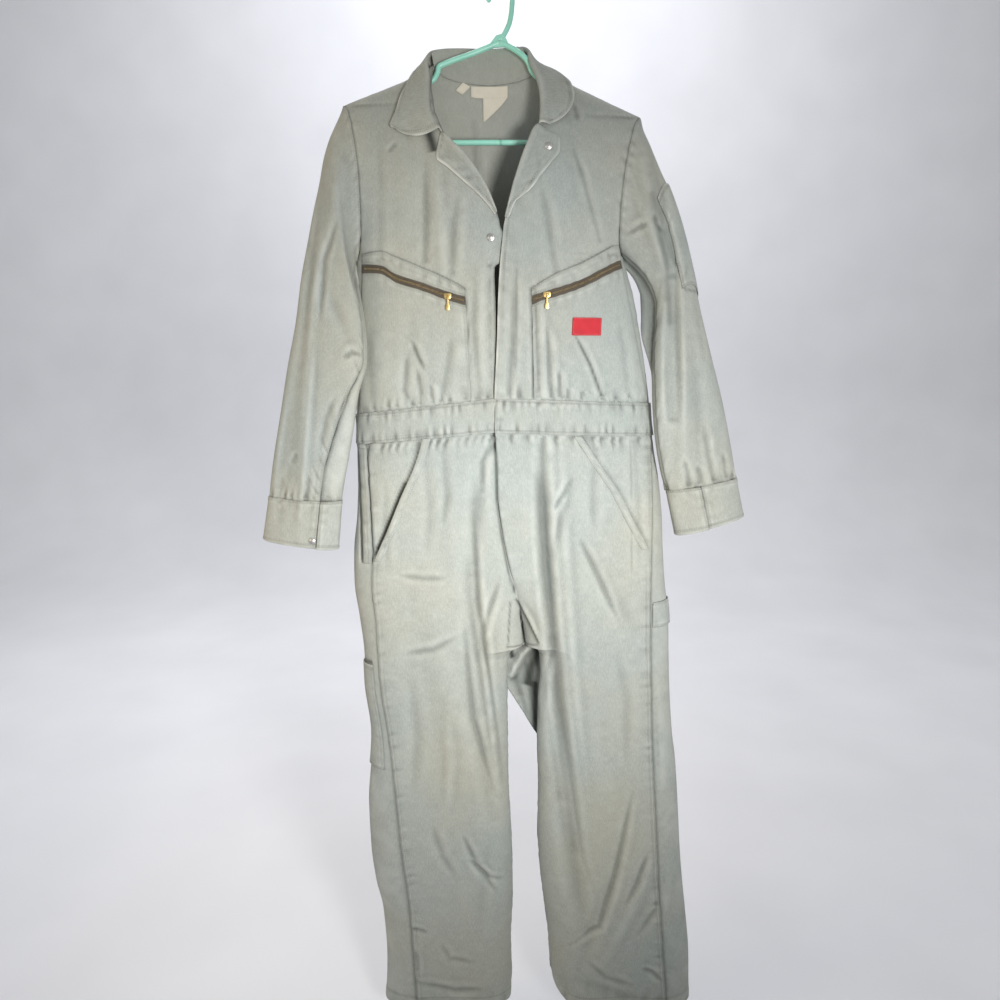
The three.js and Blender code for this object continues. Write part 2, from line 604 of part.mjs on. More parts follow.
// The hem's inner corner is lifted. The rows above it level out upwards.
const hemCorner = 10;
const rowHeight = ({ outerZ, innerZ }, share, row) =>
  mix(outerZ, innerZ, clamp(share, 0, 1) ** mix(1, hemCorner, smooth((row - 16) / 4)));

const legLast = legs.right.rows.length - 1;
function legFront(side) {
  return (u, v) => {
    const row = v * legLast;
    const at = legRow(side, row);
    const share = side === 'right' ? u : 1 - u;
    return onLeg('front', mix(at.seamX, at.innerX, share), rowHeight(at, share, row));
  };
}

// Round a leg's back from its inner edge (0) across the back (1), round its outer side (2)
// and forward to the seam on its front (3).
function legWrap(side, place, row) {
  const at = legRow(side, row);
  const sign = side === 'right' ? 1 : -1;
  const backEdge = at.sideX + sign * legRound.outer;
  if (place <= 1) {
    const x = mix(at.backX, backEdge, place);
    return onLeg('back', x, rowHeight(at, (x - at.sideX) / (at.backX - at.sideX), row));
  }
  if (place <= 2) {
    const x = at.sideX + sign * legRound.outer * (1 - Math.cos((Math.PI / 2) * (2 - place)));
    return onLeg('back', x, rowHeight(at, (x - at.sideX) / (at.backX - at.sideX), row));
  }
  const seamAngle = Math.acos(1 - Math.abs(at.seamX - at.sideX) / legRound.outer);
  const x = at.sideX + sign * legRound.outer * (1 - Math.cos(seamAngle * (place - 2)));
  return onLeg('front', x, at.outerZ);
}

const legBackPlaces = [0, 0.023, 0.095, 0.2, 0.333, 0.55, 0.78, 1, 1.25, 1.5, 1.75, 2, 2.33, 2.67, 3];
const legFrontShares = [0, 0.14, 0.28, 0.42, 0.55, 0.66, 0.76, 0.85, 0.92, 0.98, 1];

function addLeg(side) {
  const flip = (stops) => (side === 'right' ? stops : stops.map((stop) => 1 - stop).reverse());
  const places = legBackPlaces.map((place) => place / 3);
  const [near, far] = side === 'right' ? ['start', 'end'] : ['end', 'start'];
  const inseam = (end) => ({ levelled: [end], levelFrom: crotchRow });
  addSheet(`leg_${side}_front`, legFront(side), flip(legFrontShares), evenly(legLast), inseam(far));
  const back = (u, v) => legWrap(side, 3 * (side === 'right' ? u : 1 - u), v * legLast);
  addSheet(`leg_${side}_back`, back, flip(places), evenly(legLast), inseam(near));
}

// The collar's leaf, a station for each section, from the left point round the neck to the right one.
// It hangs from its fold line to its outer edge.
const collar = table(['station', 'foldX', 'foldY', 'foldZ', 'outerX', 'outerY', 'outerZ', 'sag'], [
  [0, 60, -43, -205, 73, -41, -209, 0],
  [1, 61, -41, -193, 89, -37, -200, 0],
  [2, 62, -37, -178, 104, -31, -184, 0],
  [3, 62, -32, -163, 111, -22, -164, 0],
  [4, 60, -25, -145, 108, -14, -145, 0],
  [5, 54, -17, -124, 89, -5, -124, 0],
  [6, 46, -8, -104, 72, 5, -115, 0],
  [7, 44, 6, -87, 62, 16, -122, 0],
  [8, 32, 17, -79, 47, 28, -138, 0],
  [9, 9, 22, -80, 15, 35, -147, 0],
  [10, -20, 23, -81, -20, 37, -149, 0],
  [11, -52, 21, -81, -56, 35, -147, 0],
  [12, -85, 15, -83, -94, 28, -139, 0],
  [13, -107, 3, -92, -119, 13, -123, 0],
  [14, -111, -9, -108, -126, -6, -122, 0],
  [15, -108, -19, -131, -141, -18, -146, 0],
  [16, -108, -27, -155, -149, -24, -165, 0],
  [17, -106, -36, -180, -155, -30, -186, 0],
  [18, -97, -43, -201, -163, -35, -206, 6],
  [19, -88, -47, -215, -158, -37, -212, 11],
]);

function collarSurface(u, v) {
  const station = u * (collar.rows.length - 1);
  const get = (name) => read(collar, name, station);
  const fold = new THREE.Vector3(get('foldX'), get('foldY'), get('foldZ'));
  const outer = new THREE.Vector3(get('outerX'), get('outerY'), get('outerZ'));
  const point = fold.lerp(outer, v);
  point.z -= get('sag') * 4 * v * (1 - v);
  return point;
}

// The collar's stand rises from the back's neck seam to just inside the fold.
const stand = table(['station', 'topX', 'topY', 'topZ', 'neckX'], [
  [0, 35, 10, -85.5, 50],
  [1, 32, 12, -84.5, 42],
  [2, 26, 15, -82, 26],
  [3, 6, 18.5, -82.5, 4],
  [4, -20, 19.5, -83.5, -19],
  [5, -48, 17.5, -83.5, -42],
  [6, -74, 13.5, -85, -66],
  [7, -93, 7, -89, -87],
  [8, -103.5, 0, -96, -100],
]);

function standSurface(u, v) {
  const station = u * (stand.rows.length - 1);
  const get = (name) => read(stand, name, station);
  const neckX = get('neckX');
  const neckZ = backTop(neckX) + edgeGap;
  const top = new THREE.Vector3(get('topX'), get('topY'), get('topZ'));
  return top.lerp(onBody('back', neckX, neckZ), v);
}

// Each front's lapel turns back at its fold line and lies on the front.
const lapelColumns = ['row', 'foldX', 'foldZ', 'outerX', 'outerZ'];
const lapels = {
  right: table(lapelColumns, [
    [0, -86.5, -220, -88.5, -221.5], [1, -79, -226, -90.5, -234], [2, -70, -235, -94, -250],
    [3, -62, -242, -93.5, -258], [4, -52, -252, -78, -270], [5, -42, -266, -56, -289],
    [6, -30, -283, -35, -307], [7, -18, -305, -22, -320], [8, -6, -334, -8, -338],
  ]),
  left: table(lapelColumns, [
    [0, 57, -208, 69, -214], [1, 50, -216, 89, -228], [2, 44, -230, 88, -246], [3, 36, -250, 76, -263],
    [4, 28, -273, 61, -281], [5, 21, -295, 44, -303], [6, 15, -318, 24, -319], [7, 9, -342, 12, -343],
  ]),
};
const lapelLift = 2.6;
const lapelRoll = 3.4;

function lapelSurface(side) {
  const rows = lapels[side];
  return (u, v) => {
    const get = (name) => read(rows, name, v * (rows.rows.length - 1));
    const share = side === 'right' ? u : 1 - u;
    const x = mix(get('outerX'), get('foldX'), share);
    const z = mix(get('outerZ'), get('foldZ'), share);
    return onBody('front', x, z).add(new THREE.Vector3(0, -lapelLift - lapelRoll * share ** 3, 0));
  };
}

function addCollar() {
  addSheet('collar_leaf', collarSurface, evenly(collar.rows.length - 1), evenly(3), { wall: doubledWall });
  addSheet('collar_stand', standSurface, evenly(stand.rows.length - 1), evenly(2), { wall: doubledWall });
  for (const side of ['right', 'left']) {
    const down = evenly(lapels[side].rows.length - 1);
    addSheet(`lapel_${side}`, lapelSurface(side), [0, 0.5, 0.8, 1], down, { wall: doubledWall });
  }
}

// What is sewn on a panel lies this far out from it, measured to the outer face.
const sewnOn = { wall: 1, lift: 2.4 };
const tapeOn = { wall: 0.8, lift: 2, finish: 'tape' };

// A chest pocket: the band over its zip, the zip's centre line, and the pocket down to the waist.
const chestColumns = ['row', 'x', 'band', 'zip', 'footX'];
const chests = {
  right: table(chestColumns, [
    [0, -211, -391, -412.5, -225], [1, -196, -390, -413.5, -203], [2, -180, -389, -416, -181],
    [3, -158, -398, -429, -156], [4, -121, -413, -441, -117], [5, -91, -426, -452, -86],
    [6, -62, -440, -461, -55], [7, -53, -444.5, -463, -45],
  ]),
  left: table(chestColumns, [
    [0, 48, -445, -462, 53], [1, 61, -436, -457, 66], [2, 91, -420, -448, 100], [3, 121, -408, -437, 138],
    [4, 151, -392, -421, 180], [5, 172, -380, -409, 220], [6, 181, -377, -405, 237],
  ]),
};
const zipHalf = 6;
const zips = { right: { x: -79, z: -456.5 }, left: { x: 71, z: -454 } };

function chestSurface(side, upper, lower) {
  const rows = chests[side];
  return (u, v) => {
    const get = (name) => read(rows, name, u * (rows.rows.length - 1));
    const [band, zip, footX] = [get('band'), get('zip'), get('footX')];
    const foot = waistZ('top', footX) + 1.5;
    const heights = { band, zipTop: zip + zipHalf, zipFoot: zip - zipHalf, foot };
    const z = mix(heights[upper], heights[lower], v);
    return onBody('front', mix(get('x'), footX, (band - z) / (band - foot)), z);
  };
}

function addChestPocket(side) {
  const across = evenly(11);
  addSheet(`pocket_band_${side}`, chestSurface(side, 'band', 'zipTop'), across, evenly(1), sewnOn);
  addSheet(`zip_tape_${side}`, chestSurface(side, 'zipTop', 'zipFoot'), across, evenly(1), tapeOn);
  addSheet(`chest_pocket_${side}`, chestSurface(side, 'zipFoot', 'foot'), across, evenly(6), sewnOn);
}

// Solids that are joined or cut.
function solidOf(geometry) {
  const bare = geometry.clone();
  bare.deleteAttribute('normal');
  bare.deleteAttribute('uv');
  const merged = mergeVertices(bare, 1e-4);
  const vertProperties = new Float32Array(merged.attributes.position.array);
  const triVerts = new Uint32Array(merged.index.array);
  return new wasm.Manifold(new wasm.Mesh({ numProp: 3, vertProperties, triVerts }));
}

function joined(geometries) {
  const [first, ...others] = geometries.map(solidOf);
  const { vertProperties, triVerts } = others.reduce((whole, next) => whole.add(next), first).getMesh();
  const geometry = new THREE.BufferGeometry();
  geometry.setAttribute('position', new THREE.BufferAttribute(vertProperties, 3));
  geometry.setIndex(new THREE.BufferAttribute(triVerts, 1));
  return geometry;
}

const box = (x, y, z, at) => new THREE.BoxGeometry(x, y, z).translate(...at);
const alongX = (radius, length, sides = 12) =>
  new THREE.CylinderGeometry(radius, radius, length, sides).rotateZ(Math.PI / 2);

// A zip's slider and its pull tab, which swings on a pin along X. The pin is at each one's own origin.
const slider = { width: 11, height: 8, thick: 1.4, lugX: 3.2, lugWidth: 1.2, lugHeight: 2.8, pin: 0.65 };
const pull = { eye: 1.6, hole: 1, width: 4.6, thick: 1.1, stem: 12, stemWidth: 3, foot: 8, footWidth: 6.4 };
const pullOverlap = 0.1;
const pinOut = 2;
const sliderLift = 2.9;

function sliderGeometry() {
  const { width, height, thick, lugX, lugWidth, lugHeight, pin } = slider;
  const lug = (x) => box(lugWidth, pinOut + pin, lugHeight, [x, (pinOut - pin) / 2, 0]);
  const plate = box(width, thick, height, [0, pinOut + thick / 2, 0]);
  return joined([plate, lug(lugX), lug(-lugX), alongX(pin, 2 * lugX)]);
}

function pullGeometry() {
  const ring = new THREE.Shape().absarc(0, 0, pull.eye, 0, 2 * Math.PI);
  ring.holes.push(new THREE.Path().absarc(0, 0, pull.hole, 0, 2 * Math.PI, true));
  const eye = new THREE.ExtrudeGeometry(ring, { depth: pull.width, bevelEnabled: false, curveSegments: 8 });
  eye.translate(0, 0, -pull.width / 2).rotateY(Math.PI / 2);
  const top = -(pull.hole + pull.eye) / 2;
  const stem = box(pull.stemWidth, pull.thick, pull.stem, [0, 0, top - pull.stem / 2]);
  const footTop = top - pull.stem + pullOverlap;
  const foot = box(pull.footWidth, pull.thick, pull.foot, [0, 0, footTop - pull.foot / 2]);
  return joined([eye, stem, foot]);
}

function addSlider(side) {
  const { x, z } = zips[side];
  const y = bodyY('front', x, z) - sliderLift - slider.thick - pinOut;
  for (const [name, geometry] of [['zip_slider', sliderGeometry()], ['zip_pull', pullGeometry()]]) {
    addPiece(`${name}_${side}`, geometry, 'brass').position.set(x, y, z);
  }
}

// A patch on a panel from its four corners, with x and z each.
function cornerPatch(point, [topStart, topEnd, footStart, footEnd]) {
  return (u, v) => {
    const [x, z] = [0, 1].map((i) => mix(mix(topStart[i], topEnd[i], u), mix(footStart[i], footEnd[i], u), v));
    return point(x, z);
  };
}

function addPatches() {
  const front = (x, z) => onBody('front', x, z);
  const badge = cornerPatch(front, [[111, -488], [155, -488], [110, -514], [154, -514]]);
  addSheet('chest_patch', badge, evenly(3), evenly(1), { lift: 4, wall: 0.8, finish: 'patch' });

  const inside = { lift: -clothWall - 1.3, wall: 0.5, finish: 'label' };
  const labelRows = table(['row', 'start', 'end', 'z'], [
    [0, -45, 12, -133.5], [1, -45, 12, -152], [2, -35, -6, -166], [3, -27, -22, -180],
  ]);
  const label = (u, v) => {
    const get = (name) => read(labelRows, name, v * 3);
    return onBody('back', mix(get('end'), get('start'), u), get('z'));
  };
  addSheet('neck_label', label, evenly(3), evenly(3), inside);
  const tab = cornerPatch((x, z) => onBody('back', x, z), [[-47, -134], [-69, -131.5], [-47, -147], [-68, -145]]);
  addSheet('size_label', tab, evenly(1), evenly(1), inside);

  const pen = cornerPatch((degrees, row) => sleevePoint('left', degrees, row),
    [[-24, 3.6], [-100, 5.2], [-24, 7.7], [-100, 8.8]]);
  addSheet('sleeve_pocket_left', pen, evenly(6), evenly(7), { wall: 1, lift: 4 });

  const tool = (u, v) => legWrap('right', mix(0.62, 2.8, u), mix(9.1, 13.5, v));
  addSheet('tool_pocket_right', tool, evenly(12), evenly(6), { wall: 1, lift: 3.3 });
  const loop = (u, v) => legWrap('left', mix(2.95, 1.3, u), mix(5.75, 6.85, v));
  addSheet('hammer_loop_left', loop, evenly(8), evenly(1), { wall: 1.2, lift: 3 });

  const vent = (u, v) => {
    const z = mix(-690, -876, v);
    return onLeg('front', read(legOutlines.right, 'seam', z) - mix(15, 2.5, u), z);
  };
  addSheet('side_vent_right', vent, evenly(2), evenly(5), sewnOn);
}

// The bound mouth of each slanted hip pocket.
const mouthWidth = 12;
const mouths = {
  right: table(['row', 'x', 'z'], [
    [0, -121, -673], [1, -134, -714], [2, -159, -770], [3, -176, -811], [4, -192, -846], [5, -204, -872],
  ]),
  left: table(['row', 'x', 'z'], [
    [0, 128, -669], [1, 158, -714], [2, 186, -754], [3, 212, -802], [4, 241, -852],
  ]),
};

function addHipPocket(side) {
  const rows = mouths[side];
  const [start, end] = side === 'right' ? [0, mouthWidth] : [-mouthWidth, 0];
  const surface = (u, v) => {
    const row = v * (rows.rows.length - 1);
    return onLeg('front', read(rows, 'x', row) + mix(start, end, u), read(rows, 'z', row));
  };
  const down = evenly(2 * (rows.rows.length - 1));
  addSheet(`hip_pocket_${side}`, surface, evenly(1), down, { wall: 1, lift: 2 });
}

// Snaps are round caps whose axis runs front to back.
const snapCap = { radius: 5.5, thick: 1.6 };
function addSnap(name, at) {
  const cap = new THREE.CylinderGeometry(snapCap.radius, snapCap.radius, snapCap.thick, 16);
  addPiece(name, cap, 'steel').position.copy(at).setY(at.y - snapCap.thick / 2);
}

function addSnaps() {
  const out = (y) => new THREE.Vector3(0, -y, 0);
  addSnap('snap_lapel', onBody('front', 72, -241).add(out(lapelLift + 1.7)));
  addSnap('snap_front', onBody('front', -13.5, -371).add(out(0.8)));
  addSnap('snap_cuff', sleevePoint('right', 23, 13.84).add(out(1.5)));
}

// The plastic hanger: a hook, two arms that step down beside the neck, and a bar.
const tubeRadius = 4;
const hook = { inner: 15, radius: 3.5, from: 0, to: 205 };
const hangerArms = {
  right: [
    [0, -81], [-40, -96], [-84, -111], [-92, -115], [-95, -124], [-101, -133], [-114, -139], [-150, -146],
    [-196, -162.5], [-205, -168], [-209, -178], [-205, -198], [-192, -214], [-170, -221.5], [-140, -222.5], [0, -222.5],
  ],
  left: [
    [0, -81], [22, -91], [37, -102], [44, -111], [48, -121], [56, -129], [72, -134], [114, -151],
    [150, -167.5], [188, -185], [196, -190], [199, -199], [193, -211], [180, -219], [160, -222.5], [0, -222.5],
  ],
};

function tube(route, radius, steps) {
  const path = new THREE.CatmullRomCurve3(route.map(([x, z]) => new THREE.Vector3(x, 0, z)), false, 'centripetal');
  const section = new THREE.Shape().absarc(0, 0, radius, 0, 2 * Math.PI);
  return new THREE.ExtrudeGeometry(section, { steps, extrudePath: path, curveSegments: 4 });
}

function addHanger() {
  const centre = hook.inner + hook.radius;
  const turns = evenly(8).map((t) => radians(mix(hook.from, hook.to, t)));
  const bend = turns.map((angle) => [centre * Math.cos(angle), centre * Math.sin(angle) - hook.inner]);
  const stem = [[0, -80], [8, -67], [13.5, -56], [16.5, -43], [18, -28]];
  const gusset = new THREE.Shape([[-18, -88], [13, -86], [4, -70], [-5, -73]].map(([x, z]) => new THREE.Vector2(x, z)));
  const web = new THREE.ExtrudeGeometry(gusset, { depth: 5, bevelEnabled: false }).rotateX(Math.PI / 2);
  const arms = Object.values(hangerArms).map((route) => tube(route, tubeRadius, 24));
  addPiece('hanger', joined([...arms, tube([...stem, ...bend], hook.radius, 18), web.translate(0, 2.5, 0)]), 'hanger');
}

addFronts();
addBack();
addWaistband();
addCollar();
addPatches();
addSnaps();
addHanger();
for (const side of ['right', 'left']) {
  addSleeve(side);
  addCuff(side);
  addLeg(side);
  addChestPocket(side);
  addSlider(side);
  addHipPocket(side);
}

export default part;
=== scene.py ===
# A boiler suit on a plastic clothes hanger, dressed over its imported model.
# Tables are in millimetres, with +Z up and the front towards -Y, and become metres when a mesh is made.
# Right and left are the wearer's, so the right side lies at -X.
import math

import bmesh
import bpy
import numpy as np
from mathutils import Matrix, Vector


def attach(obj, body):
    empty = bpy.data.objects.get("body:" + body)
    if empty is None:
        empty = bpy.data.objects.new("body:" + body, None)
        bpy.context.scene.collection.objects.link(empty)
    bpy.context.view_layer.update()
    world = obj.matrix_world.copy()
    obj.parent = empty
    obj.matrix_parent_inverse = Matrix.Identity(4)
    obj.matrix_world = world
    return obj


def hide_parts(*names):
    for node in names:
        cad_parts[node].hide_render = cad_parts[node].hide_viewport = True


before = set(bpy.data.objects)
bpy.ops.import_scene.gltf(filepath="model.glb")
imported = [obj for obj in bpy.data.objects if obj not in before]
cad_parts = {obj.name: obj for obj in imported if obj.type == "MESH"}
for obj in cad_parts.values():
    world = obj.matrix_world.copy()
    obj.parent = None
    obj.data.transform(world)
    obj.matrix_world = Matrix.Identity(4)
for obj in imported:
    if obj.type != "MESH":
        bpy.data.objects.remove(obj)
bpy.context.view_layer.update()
millimetre = 0.001


def mix(a, b, t):
    return a + (b - a) * t


def clamp(value, low, high):
    return np.minimum(high, np.maximum(low, value))


def smooth(t):
    t = clamp(t, 0, 1)
    return t * t * (3 - 2 * t)


def table(names, rows):  # named columns, the first of them the place of each row
    columns = {name: np.array([row[i] for row in rows], float) for i, name in enumerate(names.split())}
    return {"key": names.split()[0], "last": len(rows) - 1, **columns}


def read(rows, name, at):  # one column at any place, on a smooth curve that never overshoots
    x, y = rows[rows["key"]], rows[name]
    if x[-1] < x[0]:
        x, y = x[::-1], y[::-1]
    slope = np.diff(y) / np.diff(x)
    product, total = slope[:-1] * slope[1:], slope[:-1] + slope[1:]
    bend = np.concatenate([slope[:1], np.where(product > 0, 2 * product / np.where(product > 0, total, 1), 0),
        slope[-1:]])
    at = clamp(at, x[0], x[-1])
    i = np.clip(np.searchsorted(x, at, side="right") - 1, 0, len(x) - 2)
    span = x[i + 1] - x[i]
    t = (at - x[i]) / span
    level = mix(y[i], y[i + 1], t * t * (3 - 2 * t))
    return level + span * (t * (1 - t) ** 2 * bend[i] - t * t * (1 - t) * bend[i + 1])


def place(x, y, z):
    return np.stack(np.broadcast_arrays(x, y, z), -1)


def softNoise(x, z, sizeX, sizeZ, seed):  # smooth and the same on each run, from -1 to 1
    count = 64
    lattice = np.random.default_rng(seed).uniform(-1, 1, (count, count))
    gx, gz = x / sizeX + 19.3 * seed, z / sizeZ + 7.1 * seed
    ix, iz = np.floor(gx).astype(int), np.floor(gz).astype(int)
    tx, tz = smooth(gx - ix), smooth(gz - iz)
    at = lambda i, j: lattice[i % count, j % count]
    return mix(mix(at(ix, iz), at(ix + 1, iz), tx), mix(at(ix, iz + 1), at(ix + 1, iz + 1), tx), tz)


# Large folds, as the model has them, then the finer creases that only the cloth shows.
# A positive height stands out from the body and a negative one sinks in.
foldColumns = "x1 z1 x2 z2 width height"
bigFolds = {
    "front": table(foldColumns, [
        [-178, -190, -206, -350, 16, -9], [-108, -235, -108, -400, 13, -5], [-150, -210, -140, -380, 16, 4],
        [-136, -500, -140, -630, 12, -5], [-186, -470, -176, -620, 16, 4], [-62, -470, -66, -600, 14, 3],
        [102, -190, 116, -330, 12, -4], [160, -215, 176, -370, 11, -4], [138, -230, 140, -390, 13, 4],
        [73, -470, 82, -630, 15, -5], [112, -515, 156, -625, 14, -3], [196, -430, 208, -600, 15, 4],
    ]),
    "back": table(foldColumns, [
        [-30, -190, -22, -600, 10, -6], [-120, -230, -112, -620, 15, -5], [90, -230, 96, -620, 15, -5],
        [-170, -300, -160, -600, 18, 5], [150, -300, 158, -600, 18, 5],
    ]),
    "legFront": table(foldColumns, [
        [-32, -690, -44, -890, 12, -8], [-64, -700, -78, -860, 16, 4], [-52, -880, -34, -1130, 13, -9],
        [-62, -1040, -12, -1330, 12, -8], [-20, -1000, 0, -1280, 9, 6], [-110, -900, -60, -1260, 26, 6],
        [-20, -1380, -40, -1560, 14, -5], [-130, -1690, -20, -1700, 12, -6], [56, -690, 84, -1010, 13, -14],
        [84, -1010, 104, -1290, 14, -15], [104, -1290, 148, -1540, 16, -13], [112, -740, 84, -860, 9, -5],
        [130, -850, 235, -1010, 17, -6], [150, -1180, 190, -1330, 24, 5], [210, -1400, 140, -1620, 15, -7],
        [258, -1440, 190, -1600, 12, 5], [120, -1640, 290, -1700, 14, -5],
    ]),
    "legBack": table(foldColumns, [
        [-120, -700, -110, -1000, 20, -6], [-150, -1050, -110, -1500, 22, -7],
            [-60, -980, -40, -1400, 16, -6],
        [120, -700, 118, -1000, 20, -6], [160, -1050, 190, -1500, 22, -7], [100, -980, 120, -1400, 16, -6],
    ]),
    "sleeve": table(foldColumns, [
        [-262, -240, -312, -560, 9, -6], [-236, -270, -290, -480, 11, 5], [-316, -560, -352, -800, 11, -7],
        [-262, -440, -232, -520, 9, -5], [-300, -640, -318, -830, 12, 5], [228, -220, 262, -420, 9, -9],
        [214, -260, 246, -420, 11, 7], [262, -430, 268, -640, 9, -12], [252, -470, 250, -640, 9, 6],
        [298, -520, 318, -740, 11, -8], [282, -560, 290, -760, 10, 5],
    ]),
}


def relief(zone, x, z):
    folds, height = bigFolds[zone], 0
    for i in range(folds["last"] + 1):
        x1, z1, x2, z2, width, tall = (folds[name][i] for name in foldColumns.split())
        dx, dz = x2 - x1, z2 - z1
        t = clamp(((x - x1) * dx + (z - z1) * dz) / (dx * dx + dz * dz), 0, 1)
        away = np.hypot(x - x1 - t * dx, z - z1 - t * dz) / width
        height = height + tall * np.exp(-away * away) * (0.35 + 0.65 * np.sin(math.pi * t))
    return height * rumple["large"][zone]


